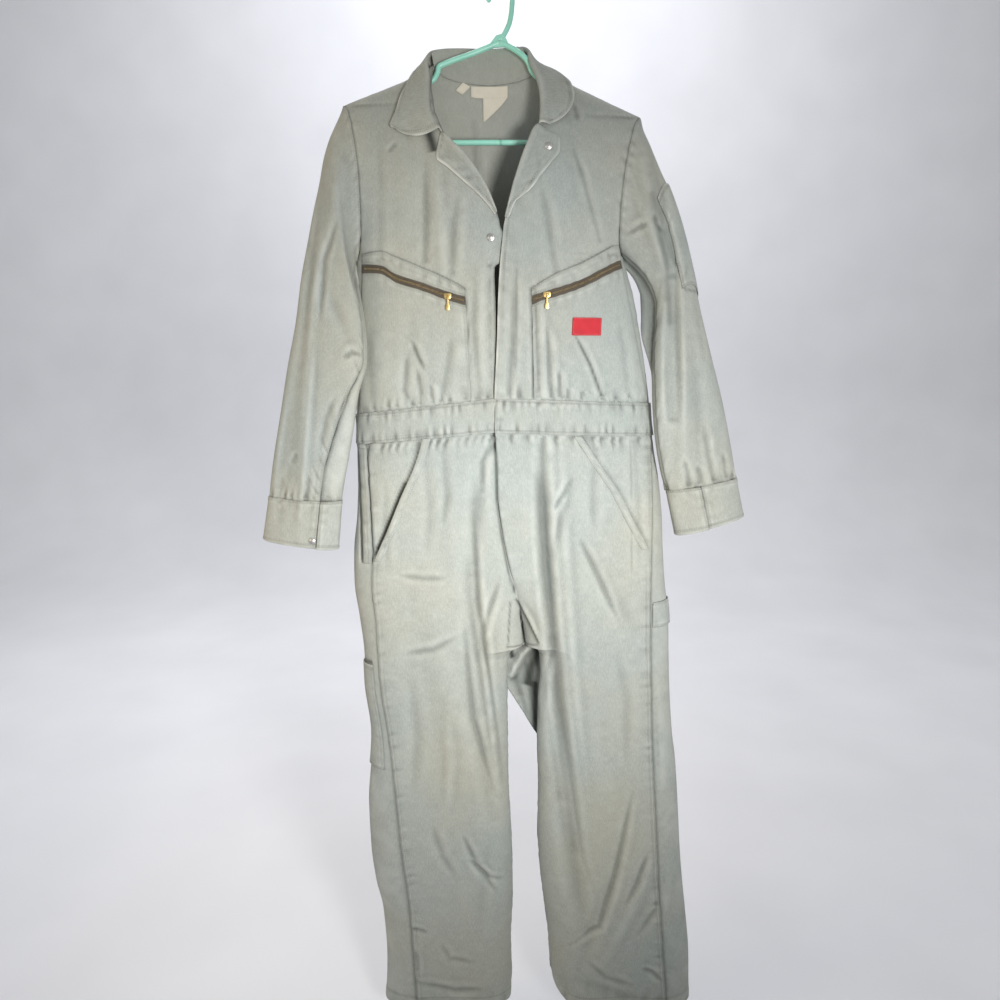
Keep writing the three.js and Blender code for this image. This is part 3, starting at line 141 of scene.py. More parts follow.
# Each crease: its line, how wide and how high, and how much of it is left at its two ends.
creases = {
    "front": [
        ([(-180, -218), (-180, -302), (-184, -402)], 8, -2.6, (0.1, 0.6)),
        ([(-111, -267), (-111, -345), (-113, -402)], 7, -2.2, (0.1, 0.7)),
        ([(-95, -262), (-90, -330), (-84, -420)], 9, 2, (0.2, 0.4)),
        ([(-170, -249), (-159, -239), (-150, -232)], 4, -2, (0, 0)),
        ([(-135, -521), (-126, -545), (-116, -566)], 5, -2, (0, 0)),
        ([(-143, -536), (-148, -597), (-141, -617)], 6, -2.6, (0, 0.3)),
        ([(-128, -560), (-122, -600), (-124, -617)], 5, -2.2, (0, 0.3)),
        ([(-108, -585), (-104, -612), (-106, -617)], 4.5, -2, (0, 0.3)),
        ([(-70, -500), (-80, -560), (-92, -620)], 8, -1.8, (0, 0.5)),
        ([(-200, -480), (-205, -560), (-200, -630)], 8, -2.2, (0, 0.7)),
        ([(-36, -420), (-40, -500), (-30, -600)], 7, -1.6, (0.2, 0.5)),
        ([(-60, -300), (-68, -350), (-72, -420)], 8, -2, (0.1, 0.6)),
        ([(-130, -160), (-135, -200), (-140, -240)], 8, -2, (0.2, 0)),
        ([(110, -170), (113, -184), (117, -202)], 5, -2.6, (0.2, 0)),
        ([(106, -232), (127, -295), (151, -373)], 5.5, -2.8, (0, 0.5)),
        ([(60, -290), (70, -340), (84, -420)], 8, -2.2, (0.2, 0.6)),
        ([(50, -446), (57, -551), (60, -617)], 6.5, -5, (0.4, 0.3)),
        ([(69, -491), (76, -582), (81, -617)], 6, -4.4, (0, 0.3)),
        ([(90, -560), (92, -600), (93, -617)], 4.5, -3, (0, 0.3)),
        ([(115, -513), (139, -559), (160, -612)], 4, -2.2, (0.1, 0.6)),
        ([(104, -590), (106, -615), (105, -617)], 4, -2.2, (0, 0.3)),
        ([(128, -596), (127, -618), (127, -617)], 4, -1.8, (0, 0.3)),
        ([(180, -470), (192, -540), (204, -620)], 8, -2.2, (0, 0.6)),
        ([(24, -420), (20, -520), (14, -600)], 6, -1.8, (0.2, 0.6)),
        ([(170, -250), (174, -310), (170, -370)], 7, -2, (0, 0.4)),
    ],
    "back": [
        ([(-39, -184), (-31, -272), (-24, -362)], 6, -3.4, (0.6, 0.4)),
        ([(-24, -362), (-20, -470), (-24, -600)], 7, -2.6, (0.4, 0.5)),
        ([(-150, -240), (-158, -340), (-150, -430)], 8, -2.6, (0, 0.2)),
        ([(-90, -300), (-84, -420), (-92, -560)], 9, -2.4, (0, 0)),
        ([(60, -260), (66, -380), (58, -500)], 9, -2.6, (0, 0)),
        ([(120, -220), (134, -330), (130, -440)], 8, -2.6, (0.1, 0.2)),
        ([(-190, -430), (-140, -500), (-90, -560)], 8, -2.4, (0.2, 0)),
        ([(190, -420), (150, -500), (110, -560)], 8, -2.4, (0.2, 0)),
        ([(-70, -560), (-66, -600), (-68, -640)], 5, -2.6, (0, 1)),
        ([(-40, -570), (-42, -610), (-40, -640)], 5, -2.4, (0, 1)),
        ([(10, -560), (8, -600), (10, -640)], 5, -2.6, (0, 1)),
        ([(44, -575), (46, -610), (44, -640)], 5, -2.2, (0, 1)),
        ([(150, -560), (160, -600), (164, -640)], 6, -2.6, (0, 1)),
        ([(-130, -570), (-140, -610), (-142, -640)], 6, -2.4, (0, 1)),
    ],
    "legFront": [
        ([(-11, -672), (-28, -710), (-29, -755)], 5.5, -4, (0.8, 0.2)),
        ([(-43, -771), (-36, -936), (-17, -1074), (5, -1272)], 5.5, -3.2, (0, 0.2)),
        ([(-33, -1005), (-16, -1140), (0, -1272)], 5.5, 2.6, (0, 0)),
        ([(-62, -936), (-47, -1145), (-8, -1290)], 6.5, -3, (0, 0.2)),
        ([(-170, -894), (-125, -899), (-81, -899)], 6, -2.2, (0, 0)),
        ([(-165, -1030), (-110, -1020), (-66, -996)], 7, -2.4, (0, 0.1)),
        ([(-118, -700), (-112, -780), (-118, -870)], 9, -2, (0.6, 0)),
        ([(-90, -680), (-84, -760), (-92, -820)], 7, -2, (0.8, 0)),
        ([(-182, -740), (-186, -820), (-180, -900)], 8, -2, (0.3, 0)),
        ([(-150, -1060), (-140, -1180), (-150, -1300)], 11, -3, (0, 0)),
        ([(-90, -1120), (-84, -1220), (-92, -1340)], 9, 2.2, (0, 0)),
        ([(-120, -1330), (-100, -1400), (-70, -1450)], 8, -2.6, (0, 0)),
        ([(-69, -1346), (-40, -1420), (0, -1480)], 6, -3.2, (0, 0.1)),
        ([(-60, -1400), (-20, -1440), (14, -1450)], 5, -2.4, (0, 0.2)),
        ([(-167, -1538), (-145, -1542), (-123, -1548)], 5, -2.2, (0, 0)),
        ([(-154, -1568), (-148, -1610), (-148, -1648)], 5, -2.2, (0, 0.3)),
        ([(-148, -1648), (-80, -1664), (-18, -1662)], 7, -3, (0.3, 0)),
        ([(-110, -1560), (-90, -1600), (-40, -1610)], 7, -2.2, (0, 0)),
        ([(65, -672), (76, -869), (100, -1109), (144, -1403), (170, -1480)], 7, -4, (1, 0.1)),
        ([(50, -690), (58, -869), (82, -1100), (122, -1390)], 7, 3, (0.4, 0.1)),
        ([(96, -690), (104, -840), (122, -1060), (150, -1290)], 8, 2.4, (0.4, 0.1)),
        ([(80, -795), (98, -765), (116, -731)], 5, -2.8, (0, 0)),
        ([(121, -820), (160, -900), (197, -979)], 6, -3, (0, 0)),
        ([(150, -690), (146, -760), (150, -830)], 8, -2, (0.7, 0)),
        ([(214, -680), (222, -800), (226, -900)], 8, -2, (0.4, 0)),
        ([(190, -1010), (210, -1120), (214, -1240)], 11, -3, (0, 0)),
        ([(250, -1060), (262, -1180), (270, -1300)], 9, -2.4, (0, 0)),
        ([(230, -1253), (200, -1441), (176, -1538), (124, -1574)], 6.5, -4, (0, 0.2)),
        ([(259, -1384), (240, -1450), (219, -1499)], 6, -3.4, (0, 0)),
        ([(290, -1420), (276, -1500), (240, -1560)], 7, -2.6, (0, 0)),
        ([(249, -1618), (272, -1628), (295, -1648)], 6, -2.8, (0, 0)),
        ([(150, -1600), (190, -1640), (250, -1660)], 8, -2.8, (0, 0)),
        ([(28, -936), (50, -975), (66, -1010)], 5.5, 3.4, (0.2, 0.2)),
        ([(12, -1017), (22, -1060), (33, -1092)], 5.5, -3.4, (0.2, 0)),
        ([(90, -1020), (74, -1080), (70, -1150)], 6, -3, (0.1, 0)),
        ([(0, -900), (-20, -960), (-30, -1010)], 6, -3, (0.1, 0)),
    ],
    "legBack": [
        ([(-60, -690), (-66, -780), (-58, -900)], 7, -3, (0.9, 0)),
        ([(60, -690), (64, -800), (58, -900)], 7, -3, (0.9, 0)),
        ([(-20, -700), (-24, -760), (-22, -840)], 6, -2.4, (0.9, 0)),
        ([(-160, -700), (-150, -800), (-158, -900)], 9, -3, (0.6, 0)),
        ([(170, -700), (168, -800), (176, -900)], 9, -3, (0.6, 0)),
        ([(-180, -960), (-120, -990), (-60, -980)], 8, -3, (0, 0.1)),
        ([(220, -960), (160, -990), (100, -985)], 8, -3, (0, 0.1)),
        ([(-40, -1020), (-90, -1100), (-110, -1220)], 9, -3.4, (0.1, 0)),
        ([(110, -1020), (150, -1100), (170, -1220)], 9, -3.4, (0.1, 0)),
        ([(-186, -1310), (-130, -1352), (-84, -1372)], 12, -1.6, (0, 0)),
        ([(284, -1336), (232, -1366), (180, -1376)], 12, -1.4, (0, 0)),
        ([(-150, -1436), (-110, -1452), (-66, -1490)], 11, -1.5, (0, 0)),
        ([(262, -1442), (214, -1450), (166, -1484)], 11, -1.5, (0, 0)),
        ([(-140, -1500), (-120, -1600), (-130, -1690)], 10, -3, (0, 0.4)),
        ([(220, -1500), (236, -1600), (240, -1690)], 10, -3, (0, 0.4)),
    ],
    "sleeve": [
        ([(-260, -228), (-286, -460), (-322, -773)], 8, 2.4, (0, 0.2)),
        ([(-283, -505), (-302, -676), (-319, -800)], 5.5, 2.2, (0, 0.3)),
        ([(-240, -339), (-265, -403), (-276, -505)], 5, -3.4, (0, 0)),
        ([(-242, -551), (-226, -540), (-212, -545)], 4.5, -2.6, (0, 0.4)),
        ([(-217, -535), (-208, -546), (-203, -558)], 4, -2, (0, 0.4)),
        ([(-331, -716), (-325, -704), (-319, -692)], 4.5, -2, (0, 0)),
        ([(-300, -320), (-296, -380), (-304, -440)], 7, -2.4, (0, 0)),
        ([(-250, -600), (-270, -640), (-284, -700)], 6, -2.6, (0, 0)),
        ([(-330, -600), (-344, -680), (-356, -750)], 6, -2.6, (0, 0.5)),
        ([(-270, -720), (-276, -750), (-280, -772)], 5, -2.2, (0, 1)),
        ([(-300, -726), (-304, -750), (-308, -772)], 5, -2.4, (0, 1)),
        ([(-346, -730), (-350, -752), (-354, -772)], 5, -2, (0, 1)),
        ([(226, -277), (234, -303), (265, -403), (273, -528), (280, -676)], 5.5, -4, (0.2, 0)),
        ([(196, -284), (237, -385), (257, -437)], 7, 2.8, (0, 0)),
        ([(190, -364), (208, -354), (225, -349)], 4.5, -2.6, (0.2, 0)),
        ([(317, -644), (328, -700), (340, -740)], 6, -3, (0, 0.4)),
        ([(252, -480), (256, -560), (262, -660)], 6, -2.6, (0, 0)),
        ([(300, -430), (310, -500), (322, -570)], 7, -2.6, (0, 0)),
        ([(286, -700), (294, -722), (300, -744)], 5, -2.6, (0, 1)),
        ([(310, -712), (316, -730), (320, -746)], 5, -2.2, (0, 1)),
        ([(352, -690), (358, -716), (362, -742)], 5, -2.4, (0, 1)),
        ([(230, -330), (236, -350), (250, -366)], 5, -2, (0, 0)),
    ],
}


def nearLine(line, x, z):  # how far a place is from a line, on which side of it and how far along it
    x, z = np.broadcast_arrays(np.asarray(x, float), np.asarray(z, float))
    nearest, side, along, start = np.full(x.shape, np.inf), np.zeros(x.shape), np.zeros(x.shape), 0
    lengths = [math.dist(a, b) for a, b in zip(line, line[1:])]
    for (x1, z1), (x2, z2), length in zip(line, line[1:], lengths):
        dx, dz = (x2 - x1) / length, (z2 - z1) / length
        t = clamp((x - x1) * dx + (z - z1) * dz, 0, length)
        ex, ez = x - x1 - t * dx, z - z1 - t * dz
        away = np.hypot(ex, ez)
        closer = away < nearest
        nearest = np.where(closer, away, nearest)
        side = np.where(closer, np.sign(dx * ez - dz * ex), side)
        along = np.where(closer, (start + t) / sum(lengths), along)
        start += length
    return nearest, side, along


def creaseRelief(strokes, x, z):
    height = 0
    for line, width, tall, (first, last) in strokes:
        nearest, side, along = nearLine(line, x, z)
        left = mix(first, 1, smooth(along / 0.35)) * mix(last, 1, smooth((1 - along) / 0.35))
        offset = nearest * side / (width * mix(0.7, 1, left))
        height = height + tall * left * (np.exp(-offset ** 2) - 0.38 * np.exp(-((offset - 1.7) / 1.1) ** 2))
    return height


# Painted shade where an edge stands over the cloth behind it, and in creases, under the arms and on the seat: its line,
# the shade's width, how dark, and the side (left of the way down is -1).
paintedShadeLines = {
    "front": [
        ([(48, -442), (50, -506), (53, -612)], 2.6, 0.9, -1),
            ([(-53, -442), (-49, -506), (-45, -613)], 1.7, 0.7, 1),
        ([(-211, -391), (-180, -388.5), (-158, -398), (-91, -425.5), (-53, -444)], 1.6, 0.55, 0),
        ([(48, -445), (76, -428), (121, -408), (151, -392), (175, -378)], 1.8, 0.65, 0),
        ([(24, -400), (24, -536), (27, -606)], 1.3, 0.3, 0),
            ([(-106, -219), (-101, -233), (-97, -248)], 7.5, 1.0, 0),
    ],
    "chest": [([(114, -514), (139, -559), (160, -612)], 2.6, 0.4, 1),
        ([(-135, -521), (-126, -545), (-116, -566)], 2.2, 0.25, 0)],
    "legFront": [
        ([(-121, -673), (-134, -714), (-159, -770), (-176, -811), (-204, -872)], 2.0, 0.85, -1),
        ([(-146, -742), (-159, -770), (-176, -811), (-196, -856)], 6.0, 1.0, -1),
        ([(128, -669), (158, -714), (186, -754), (212, -802), (241, -852)], 1.4, 0.55, 1),
        ([(-214, -690), (-210, -780), (-208, -874)], 2.2, 0.95, 0),
            ([(-226, -692), (-223, -780), (-212, -876)], 2.6, 0.9, 0),
        ([(-8, -660), (-5, -721), (-4, -768), (5, -833), (15, -885), (27, -930)], 3.2, 0.95, -1),
        ([(27, -934), (47, -974), (66, -1014)], 3.6, 0.95, -1),
            ([(17, -939), (15, -980), (13, -1016)], 1.5, 0.6, 0),
        ([(10, -1018), (38, -1022), (64, -1016)], 1.6, 0.6, 0),
        ([(60, -720), (72, -869), (94, -1109), (134, -1403)], 9, 0.22, 0),
        ([(-44, -760), (-40, -936), (-18, -1074), (5, -1272)], 6, 0.16, 0),
        ([(205, -672), (211, -802), (212, -892)], 1.2, 0.25, 0),
    ],
    "legBack": [([(-238, -1052), (-226, -1050), (-212, -1048)], 4.5, 0.9, 0),
        ([(-226, -1056), (-214, -1140), (-204, -1230)], 1.6, 0.6, 0)],
    "sleeve": [
        ([(226, -300), (234, -340), (252, -403), (262, -500)], 6, 0.35, 0),
            ([(-216, -574), (-243, -620), (-272, -710), (-290, -795)], 1.6, 0.55, 0),
        ([(267, -402), (283, -445), (306, -447)], 1.6, 0.5, 0),
    ],
    "underarm": [([(205, -398), (222, -440), (232, -500), (238, -570)], 15, 0.3, 0)],
    "seat": [
        ([(8, -1020), (40, -1026), (68, -1018)], 9, 0.8, 0), ([(16, -1030), (21, -1058)], 4.5, 0.95, 0),
        ([(68, -1040), (54, -1075), (48, -1110)], 12, 0.95, 0), ([(58, -1100), (64, -1200)], 9, 0.9, 0),
            ([(26, -1088), (36, -1130)], 7, 0.35, 0),
    ],
}


# painted shade along the listed lines, fading at their ends
def paintedShadeAt(zone, x, z):
    dark = 0
    for line, width, strength, facing in paintedShadeLines.get(zone, ()):
        nearest, side, along = nearLine(line, x, z)
        ends = smooth(along / 0.04 + 0.2) * smooth((1 - along) / 0.04 + 0.2)
        kept = smooth(side * facing * nearest / 2.2 + 0.6) if facing else 1
        dark = dark + strength * ends * kept * np.exp(-(nearest / width) ** 2)
    return dark


rumple = {  # how much of each fold the cloth shows, and its own unevenness
    "large": {"front": 0.5, "back": 0.7, "legFront": 0.85, "legBack": 0.9, "sleeve": 0.75},
    "crease": 1.0, "soft": 1.5, "softSize": (62, 110), "fine": 0.3, "fineSize": (15, 22),
}


def detail(zone, x, z):
    seed = sorted(creases).index(zone) + 3
    soft = softNoise(x, z, *rumple["softSize"], seed) * rumple["soft"]
    fine = softNoise(x, z, *rumple["fineSize"], seed + 9) * rumple["fine"]
    return creaseRelief(creases[zone], x, z) * rumple["crease"] + soft + fine


# The body: shoulder line, armholes, sides and depths.
shoulders = table("x z", [[-239, -171], [-145, -136.5], [-100, -114], [62, -117], [114, -144], [214, -188]])
armholes = {
    "right": {"tip": (-239, -171), "under": (-226, -400), "bow": 20, "front": 30, "back": 26},
    "left": {"tip": (214, -188), "under": (192, -392), "bow": -17, "front": 30, "back": 26},
}
armholeAngles = np.radians([-90, -79, -69, -52, -35, -18, 0, 18, 36, 54, 72, 90])
sides = table("z right left", [
    [-388, -226, 191], [-400, -226, 194.5], [-457, -229, 212], [-503, -230, 221], [-550, -230, 230],
    [-606, -231, 239], [-640, -232, 244], [-690, -233, 250], [-744, -233, 260], [-800, -236, 267],
])
bodyDepths = {"front": 52, "back": 42, "ridge": 7.5, "fall": 200}
waistDepths = table("z front back", [[-380, 1, 1], [-560, 1, 1], [-640, 0.95, 0.9], [-690, 0.95, 0.9]])
waist = {
    "right": {"x": -232, "top": -638, "bottom": -682},
    "middle": {"x": -9, "top": -612, "bottom": -661},
    "left": {"x": 246, "top": -620, "bottom": -668},
}


def shoulderZ(x):
    xs, zs = shoulders["x"], shoulders["z"]
    i = np.clip(np.searchsorted(xs, x, side="right") - 1, 0, len(xs) - 2)
    return mix(zs[i], zs[i + 1], (x - xs[i]) / (xs[i + 1] - xs[i]))


def armholeSine(hole, z):
    top, foot = hole["tip"][1], hole["under"][1]
    return clamp(2 * (top - z) / (top - foot) - 1, -1, 1)


def bodyEdge(side, z):
    hole = armholes[side]
    sine = armholeSine(hole, z)
    inHole = mix(hole["tip"][0], hole["under"][0], (1 + sine) / 2) + hole["bow"] * np.sqrt(1 - sine * sine)
    return np.where(z < hole["under"][1], read(sides, side, z), inHole)


def fallDepth(full, drop):
    ridge = bodyDepths["ridge"]
    onRidge = clamp(drop, 0, ridge)
    return np.sqrt(ridge ** 2 - (ridge - onRidge) ** 2) + (full - ridge) * np.sin(math.pi / 2 * clamp(drop / bodyDepths["fall"], 0, 1))


def waistZ(edge, x):
    middle = waist["middle"]
    heights = []
    for side in ("right", "left"):
        end = waist[side]
        heights.append(mix(middle[edge], end[edge], clamp((x - middle["x"]) / (end["x"] - middle["x"]), 0,
            1)))
    return np.where(x < middle["x"], *heights)


def bodyY(layer, x, z):
    right, left = bodyEdge("right", z), bodyEdge("left", z)
    s = (2 * x - right - left) / (left - right)
    full = bodyDepths[layer] * read(waistDepths, layer, z)
    found = []
    for side in ("right", "left"):
        hole = armholes[side]
        sine = armholeSine(hole, z)
        inHole = (z < hole["tip"][1]) & (z > hole["under"][1])
        edgeDepth = np.where(inHole, hole[layer] * np.sqrt(1 - sine * sine), 0)
        edgeFall = np.where(z < hole["tip"][1], fallDepth(full, shoulderZ(bodyEdge(side, z)) - z), 0)
        found.append((edgeDepth, edgeFall, 1 + smooth((hole["under"][1] + 70 - z) / 70)))
    edgeDepth, edgeFall, root = (np.where(s < 0, a, b) for a, b in zip(*found))
    roundness = (1 - clamp(np.abs(s), 0, 1) ** 3) ** (1 / root)
    neck = 15 * np.exp(-((x + 18) / 62) ** 2 - ((z + 130) / 90) ** 2) if layer == "back" else 0
    steady = smooth((shoulderZ(x) - z) / 25)
    folds = (relief(layer, x, z) + detail(layer, x, z) * steady) * roundness
    depth = fallDepth(full, shoulderZ(x) - z) + (edgeDepth - edgeFall) * (1 - roundness) + neck + folds
    return -depth if layer == "front" else depth


def onBody(layer, x, z):
    x, z = np.broadcast_arrays(np.asarray(x, float), np.asarray(z, float))
    return place(x, bodyY(layer, x, z), z)


frontInner = {
    "right": table("row x z", [
        [0, -100, -114], [1, -100.3, -116.2], [2, -101, -122], [3, -103, -150], [4, -97, -188],
            [5, -84, -219],
        [6, -56, -246], [7, -30, -282], [8, -12, -316], [9, -1, -347], [10, -4, -374], [11, -11, -404],
        [12, -13, -434], [13, -14, -470], [14, -15.5, -512], [15, -16, -548], [16, -13, -584],
            [17, -11, -612.2],
    ]),
    "left": table("row x z", [
        [0, 62, -117], [1, 62.3, -119.2], [2, 63, -125], [3, 66, -148], [4, 64, -178], [5, 58, -203],
        [6, 46, -224], [7, 35, -250], [8, 24, -283], [9, 14, -318], [10, 6, -352], [11, 1, -400],
        [12, -1.5, -434], [13, -3, -470], [14, -4, -512], [15, -5.5, -548], [16, -7.5, -584],
            [17, -8.5, -612],
    ]),
}
bodyRows = frontInner["right"]["last"]
armholeRows = len(armholeAngles) - 1
neckRows = 5
underlap = {"width": 20, "depth": 3.2, "open": (10.9,
    16.4)}  # the right front's edge runs on behind the left, but for a gap


def outerEdge(side, row):
    hole = armholes[side]
    angle = np.interp(row, np.arange(armholeRows + 1), armholeAngles)
    inHole = mix(hole["tip"][1], hole["under"][1], (1 + np.sin(angle)) / 2)
    below = mix(hole["under"][1], waist[side]["top"], (row - armholeRows) / (bodyRows - armholeRows))
    z = np.where(row <= armholeRows, inHole, below)
    return bodyEdge(side, z), z


def frontSurface(side):
    rows = frontInner[side]

    def surface(u, v):
        u, v = np.broadcast_arrays(np.asarray(u, float), np.asarray(v, float))
        row = v * bodyRows
        outerX, outerZ = outerEdge(side, row)
        innerX, innerZ = (np.interp(row, rows["row"], rows[name]) for name in ("x", "z"))
        share = u if side == "right" else 1 - u
        x = mix(outerX, innerX, share)
        tipX, tipZ = outerEdge(side, np.zeros(1))
        rise = shoulderZ(mix(tipX, rows["x"][0], share)) - mix(tipZ, rows["z"][0], share)
        z = mix(outerZ, innerZ, share) + rise * (1 - smooth(row / neckRows))
        point = onBody("front", x, z)
        if side == "right":  # the strip behind the other front's edge
            first, last = underlap["open"]
            closed = smooth((row - 9) / 1.5) * (1 - smooth((row - first) / 0.4)) + smooth((row - first) / 0.4) * (0.16 + 0.36 * smooth((row - first) / 4))
            closed = mix(closed, 1, smooth((row - last) / 0.8))
            near = clamp(1 - (innerX - x) / 14, 0, 1)
            point[..., 0] += underlap["width"] * near ** 1.5 * closed
            point[..., 1] += smooth(near) * (underlap["depth"] * closed + 6 * smooth((row - first) / 0.4) * (1 - closed))
        else:  # the upper edge stands a little proud
            near = clamp(1 - (x - innerX) / 30, 0, 1) * smooth((row - 9.5) / 2)
            point[..., 1] -= 2.2 * smooth(near)
        return point

    return surface


neckline = table("x z", [[-100, -114], [-85, -125], [-55, -130.5], [-19, -132], [17, -130.5], [47, -124.5],
    [62, -117]])


def backTop(x):
    inside = (x > neckline["x"][0]) & (x < neckline["x"][-1])
    return np.where(inside, read(neckline, "z", x), shoulderZ(x))


def backSurface(u, v):  # u runs to the wearer's right, as the back is seen from behind
    u, v = np.broadcast_arrays(1 - np.asarray(u, float), np.asarray(v, float))
    row = v * bodyRows
    (rightX, rightZ), (leftX, leftZ) = outerEdge("right", row), outerEdge("left", row)
    (topRightX, topRightZ), (topLeftX, topLeftZ) = outerEdge("right", np.zeros(1)), outerEdge("left",
        np.zeros(1))
    fade = (1 - clamp(row / armholeRows, 0, 1)) ** 1.2
    rise = backTop(mix(topRightX, topLeftX, u)) - mix(topRightZ, topLeftZ, u)
    last = np.full(1, float(bodyRows))
    waistX = mix(outerEdge("right", last)[0], outerEdge("left", last)[0], u)
    seam = waistZ("top", waistX) - mix(waist["right"]["top"], waist["left"]["top"], u)
    z = mix(rightZ, leftZ, u) + rise * fade + seam * smooth((v - 0.7) / 0.3)
    return onBody("back", mix(rightX, leftX, u), z)


waistOver = 1.6  # the band's edges lie over the cloth they are sewn to


def waistSurface(layer, start, end, drop=0):
    def surface(u, v):
        u, v = np.broadcast_arrays(np.asarray(u, float), np.asarray(v, float))
        ends = []
        for stop in (start, end):
            edge = stop if not isinstance(stop, str) else bodyEdge(stop,
                mix(waist[stop]["top"], waist[stop]["bottom"], v))
            ends.append(edge)
        x = mix(ends[0], ends[1], u)
        point = onBody(layer, x, mix(waistZ("top", x) + waistOver, waistZ("bottom", x) - waistOver, v))
        point[..., 1] += drop
        return point

    return surface


# The sleeves: rings that turn from upright at the armhole to level at the cuff.
sleeveColumns = "row outerX outerZ outerY innerX innerZ innerY front back bow seam"
sleeves = {
    "right": table(sleeveColumns, [
        [0, -239, -171, 0, -226.5, -400.5, 0, 30, 26, 20, 72],
            [1, -246, -188, -1, -231, -411, -4, 31, 25, 17, 72],
        [2, -254, -205, -2, -231, -427, -17, 31, 24, 12, 72],
            [3, -262, -224, -3, -226, -449, -31, 31, 22, 8, 72],
        [4, -270, -250, -4, -219, -474, -39, 30, 20, 4, 72],
            [5, -277, -285, -6, -215, -500, -41, 29, 19, 2, 72],
        [6, -286, -322, -8, -213, -526, -42, 28, 19, 0, 72],
            [7, -296, -366, -10, -213, -554, -42, 28, 19, 0, 72],
        [8, -309, -425, -12, -218, -584, -40, 28, 19, 0, 66],
            [9, -320, -490, -12, -223, -614, -38, 28, 19, 0, 54],
        [10, -336, -560, -12, -231, -656, -34, 28, 19, 0, 42],
            [11, -352, -640, -12, -241, -706, -31, 28, 19, 0, 33],
        [12, -365, -704, -12, -249, -740, -28, 28, 20, 0, 29],
            [13, -376, -768, -12, -255, -774, -24, 28, 21, 0, 30],
        [14, -389, -838, -12, -264, -854, -22, 29, 22, 0, 32],
    ]),
    "left": table(sleeveColumns, [
        [0, 214, -188, 0, 192, -392, 0, 30, 26, -17, 72], [1, 219, -205, -1, 203, -402, -5, 31, 26, -14, 72],
        [2, 227, -222, -2, 214, -413, -9, 31, 26, -10, 72],
            [3, 236, -243, -3, 226, -427, -12, 31, 25, -6, 72],
        [4, 247, -268, -4, 237, -446, -15, 30, 24, -3, 72], [5, 259, -293, -6, 244, -472, -18, 29, 23, 0, 72],
        [6, 271, -323, -8, 244, -502, -21, 28, 22, 0, 72], [7, 284, -362, -10, 241, -532, -24, 28, 20, 0, 72],
        [8, 299, -415, -11, 238, -565, -28, 28, 19, 0, 72],
            [9, 314, -475, -12, 239, -602, -31, 28, 19, 0, 72],
        [10, 334, -545, -12, 243, -652, -32, 28, 19, 0, 72],
            [11, 356, -621, -12, 251, -702, -31, 28, 19, 0, 72],
        [12, 371, -684, -12, 260, -738, -28, 28, 20, 0, 72],
            [13, 383, -738, -12, 267, -757, -24, 28, 21, 0, 72],
        [14, 398, -800, -12, 285, -830, -22, 29, 22, 0, 72],
    ]),
}
cuffRow, sleeveEnd = 13, 14
sleeveStart = {"upper": -111, "seam": 72, "under": 249}


# how far the sleeve's inner edge, and the cloth behind it, lean towards the body
underarm = {"right": {"inward": 6, "behind": 4, "last": 9},
    "left": {"inward": -3, "behind": -24, "last": 8.5}}


def sleevePoint(side, degrees, row):
    degrees, row = np.broadcast_arrays(np.asarray(degrees, float), np.asarray(row, float))
    sine, cosine = np.sin(np.radians(degrees)), np.cos(np.radians(degrees))
    get = lambda name: read(sleeves[side], name, row)
    share = (1 + sine) / 2
    depth = np.where(cosine > 0, get("front"), get("back"))
    fullness = np.where((cosine < 0) & (sine > 0), 1, 0.72)
    shape = np.abs(cosine) ** mix(1, fullness, smooth(row / 3))
    bow = get("bow") * np.abs(cosine) * (1 - share * smooth(row / 2))
    x = mix(get("outerX"), get("innerX"), share) + bow
    z = mix(get("outerZ"), get("innerZ"), share)
    slack = underarm[side]
    beside = smooth(row / 1.5) * smooth((slack["last"] - row) / 2)
    x = x + slack["inward"] * beside * share ** 4 + slack["behind"] * beside * np.sin(math.pi * clamp((degrees - 90) / 110, 0, 1)) ** 0.6
    front = cosine > 0
    folds = np.where(front, relief("sleeve", x, z), 0) + detail("sleeve", x, z) * np.where(front, 1, 0.8)
    folds = folds * clamp(np.abs(cosine) * 1.3, 0, 1) * smooth(row / 2)
    y = mix(get("outerY"), get("innerY"), share) - np.sign(cosine) * (shape * depth + folds)
    return place(x, y, z)


def sleeveSurface(side, first, last, fromRow, toRow):
    def surface(u, v):
        u, v = np.broadcast_arrays(np.asarray(u, float), np.asarray(v, float))
        row = mix(fromRow, toRow, v)
        degrees = mix(first, last, u) if side == "right" else mix(last, first, u)
        seam = read(sleeves[side], "seam", row)
        fixed = sleeveStart["upper"] if last <= sleeveStart["seam"] else sleeveStart["under"]
        return sleevePoint(side, fixed + (degrees - fixed) * (seam - fixed) / (sleeveStart["seam"] - fixed),
            row)

    return surface


cuff = {"split": {"right": 31, "left": 8}, "overlap": 3.5, "turn": 358}


def cuffSurface(side):
    def surface(u, v):
        u, v = np.broadcast_arrays(np.asarray(u, float), np.asarray(v, float))
        split = cuff["split"][side]
        degrees = split + cuff["turn"] * (u if side == "right" else 1 - u)
        point = sleevePoint(side, degrees, mix(cuffRow, sleeveEnd, v))
        point[..., 1] -= cuff["overlap"] * (1 - smooth((degrees - split) / 40))
        return point

    return surface


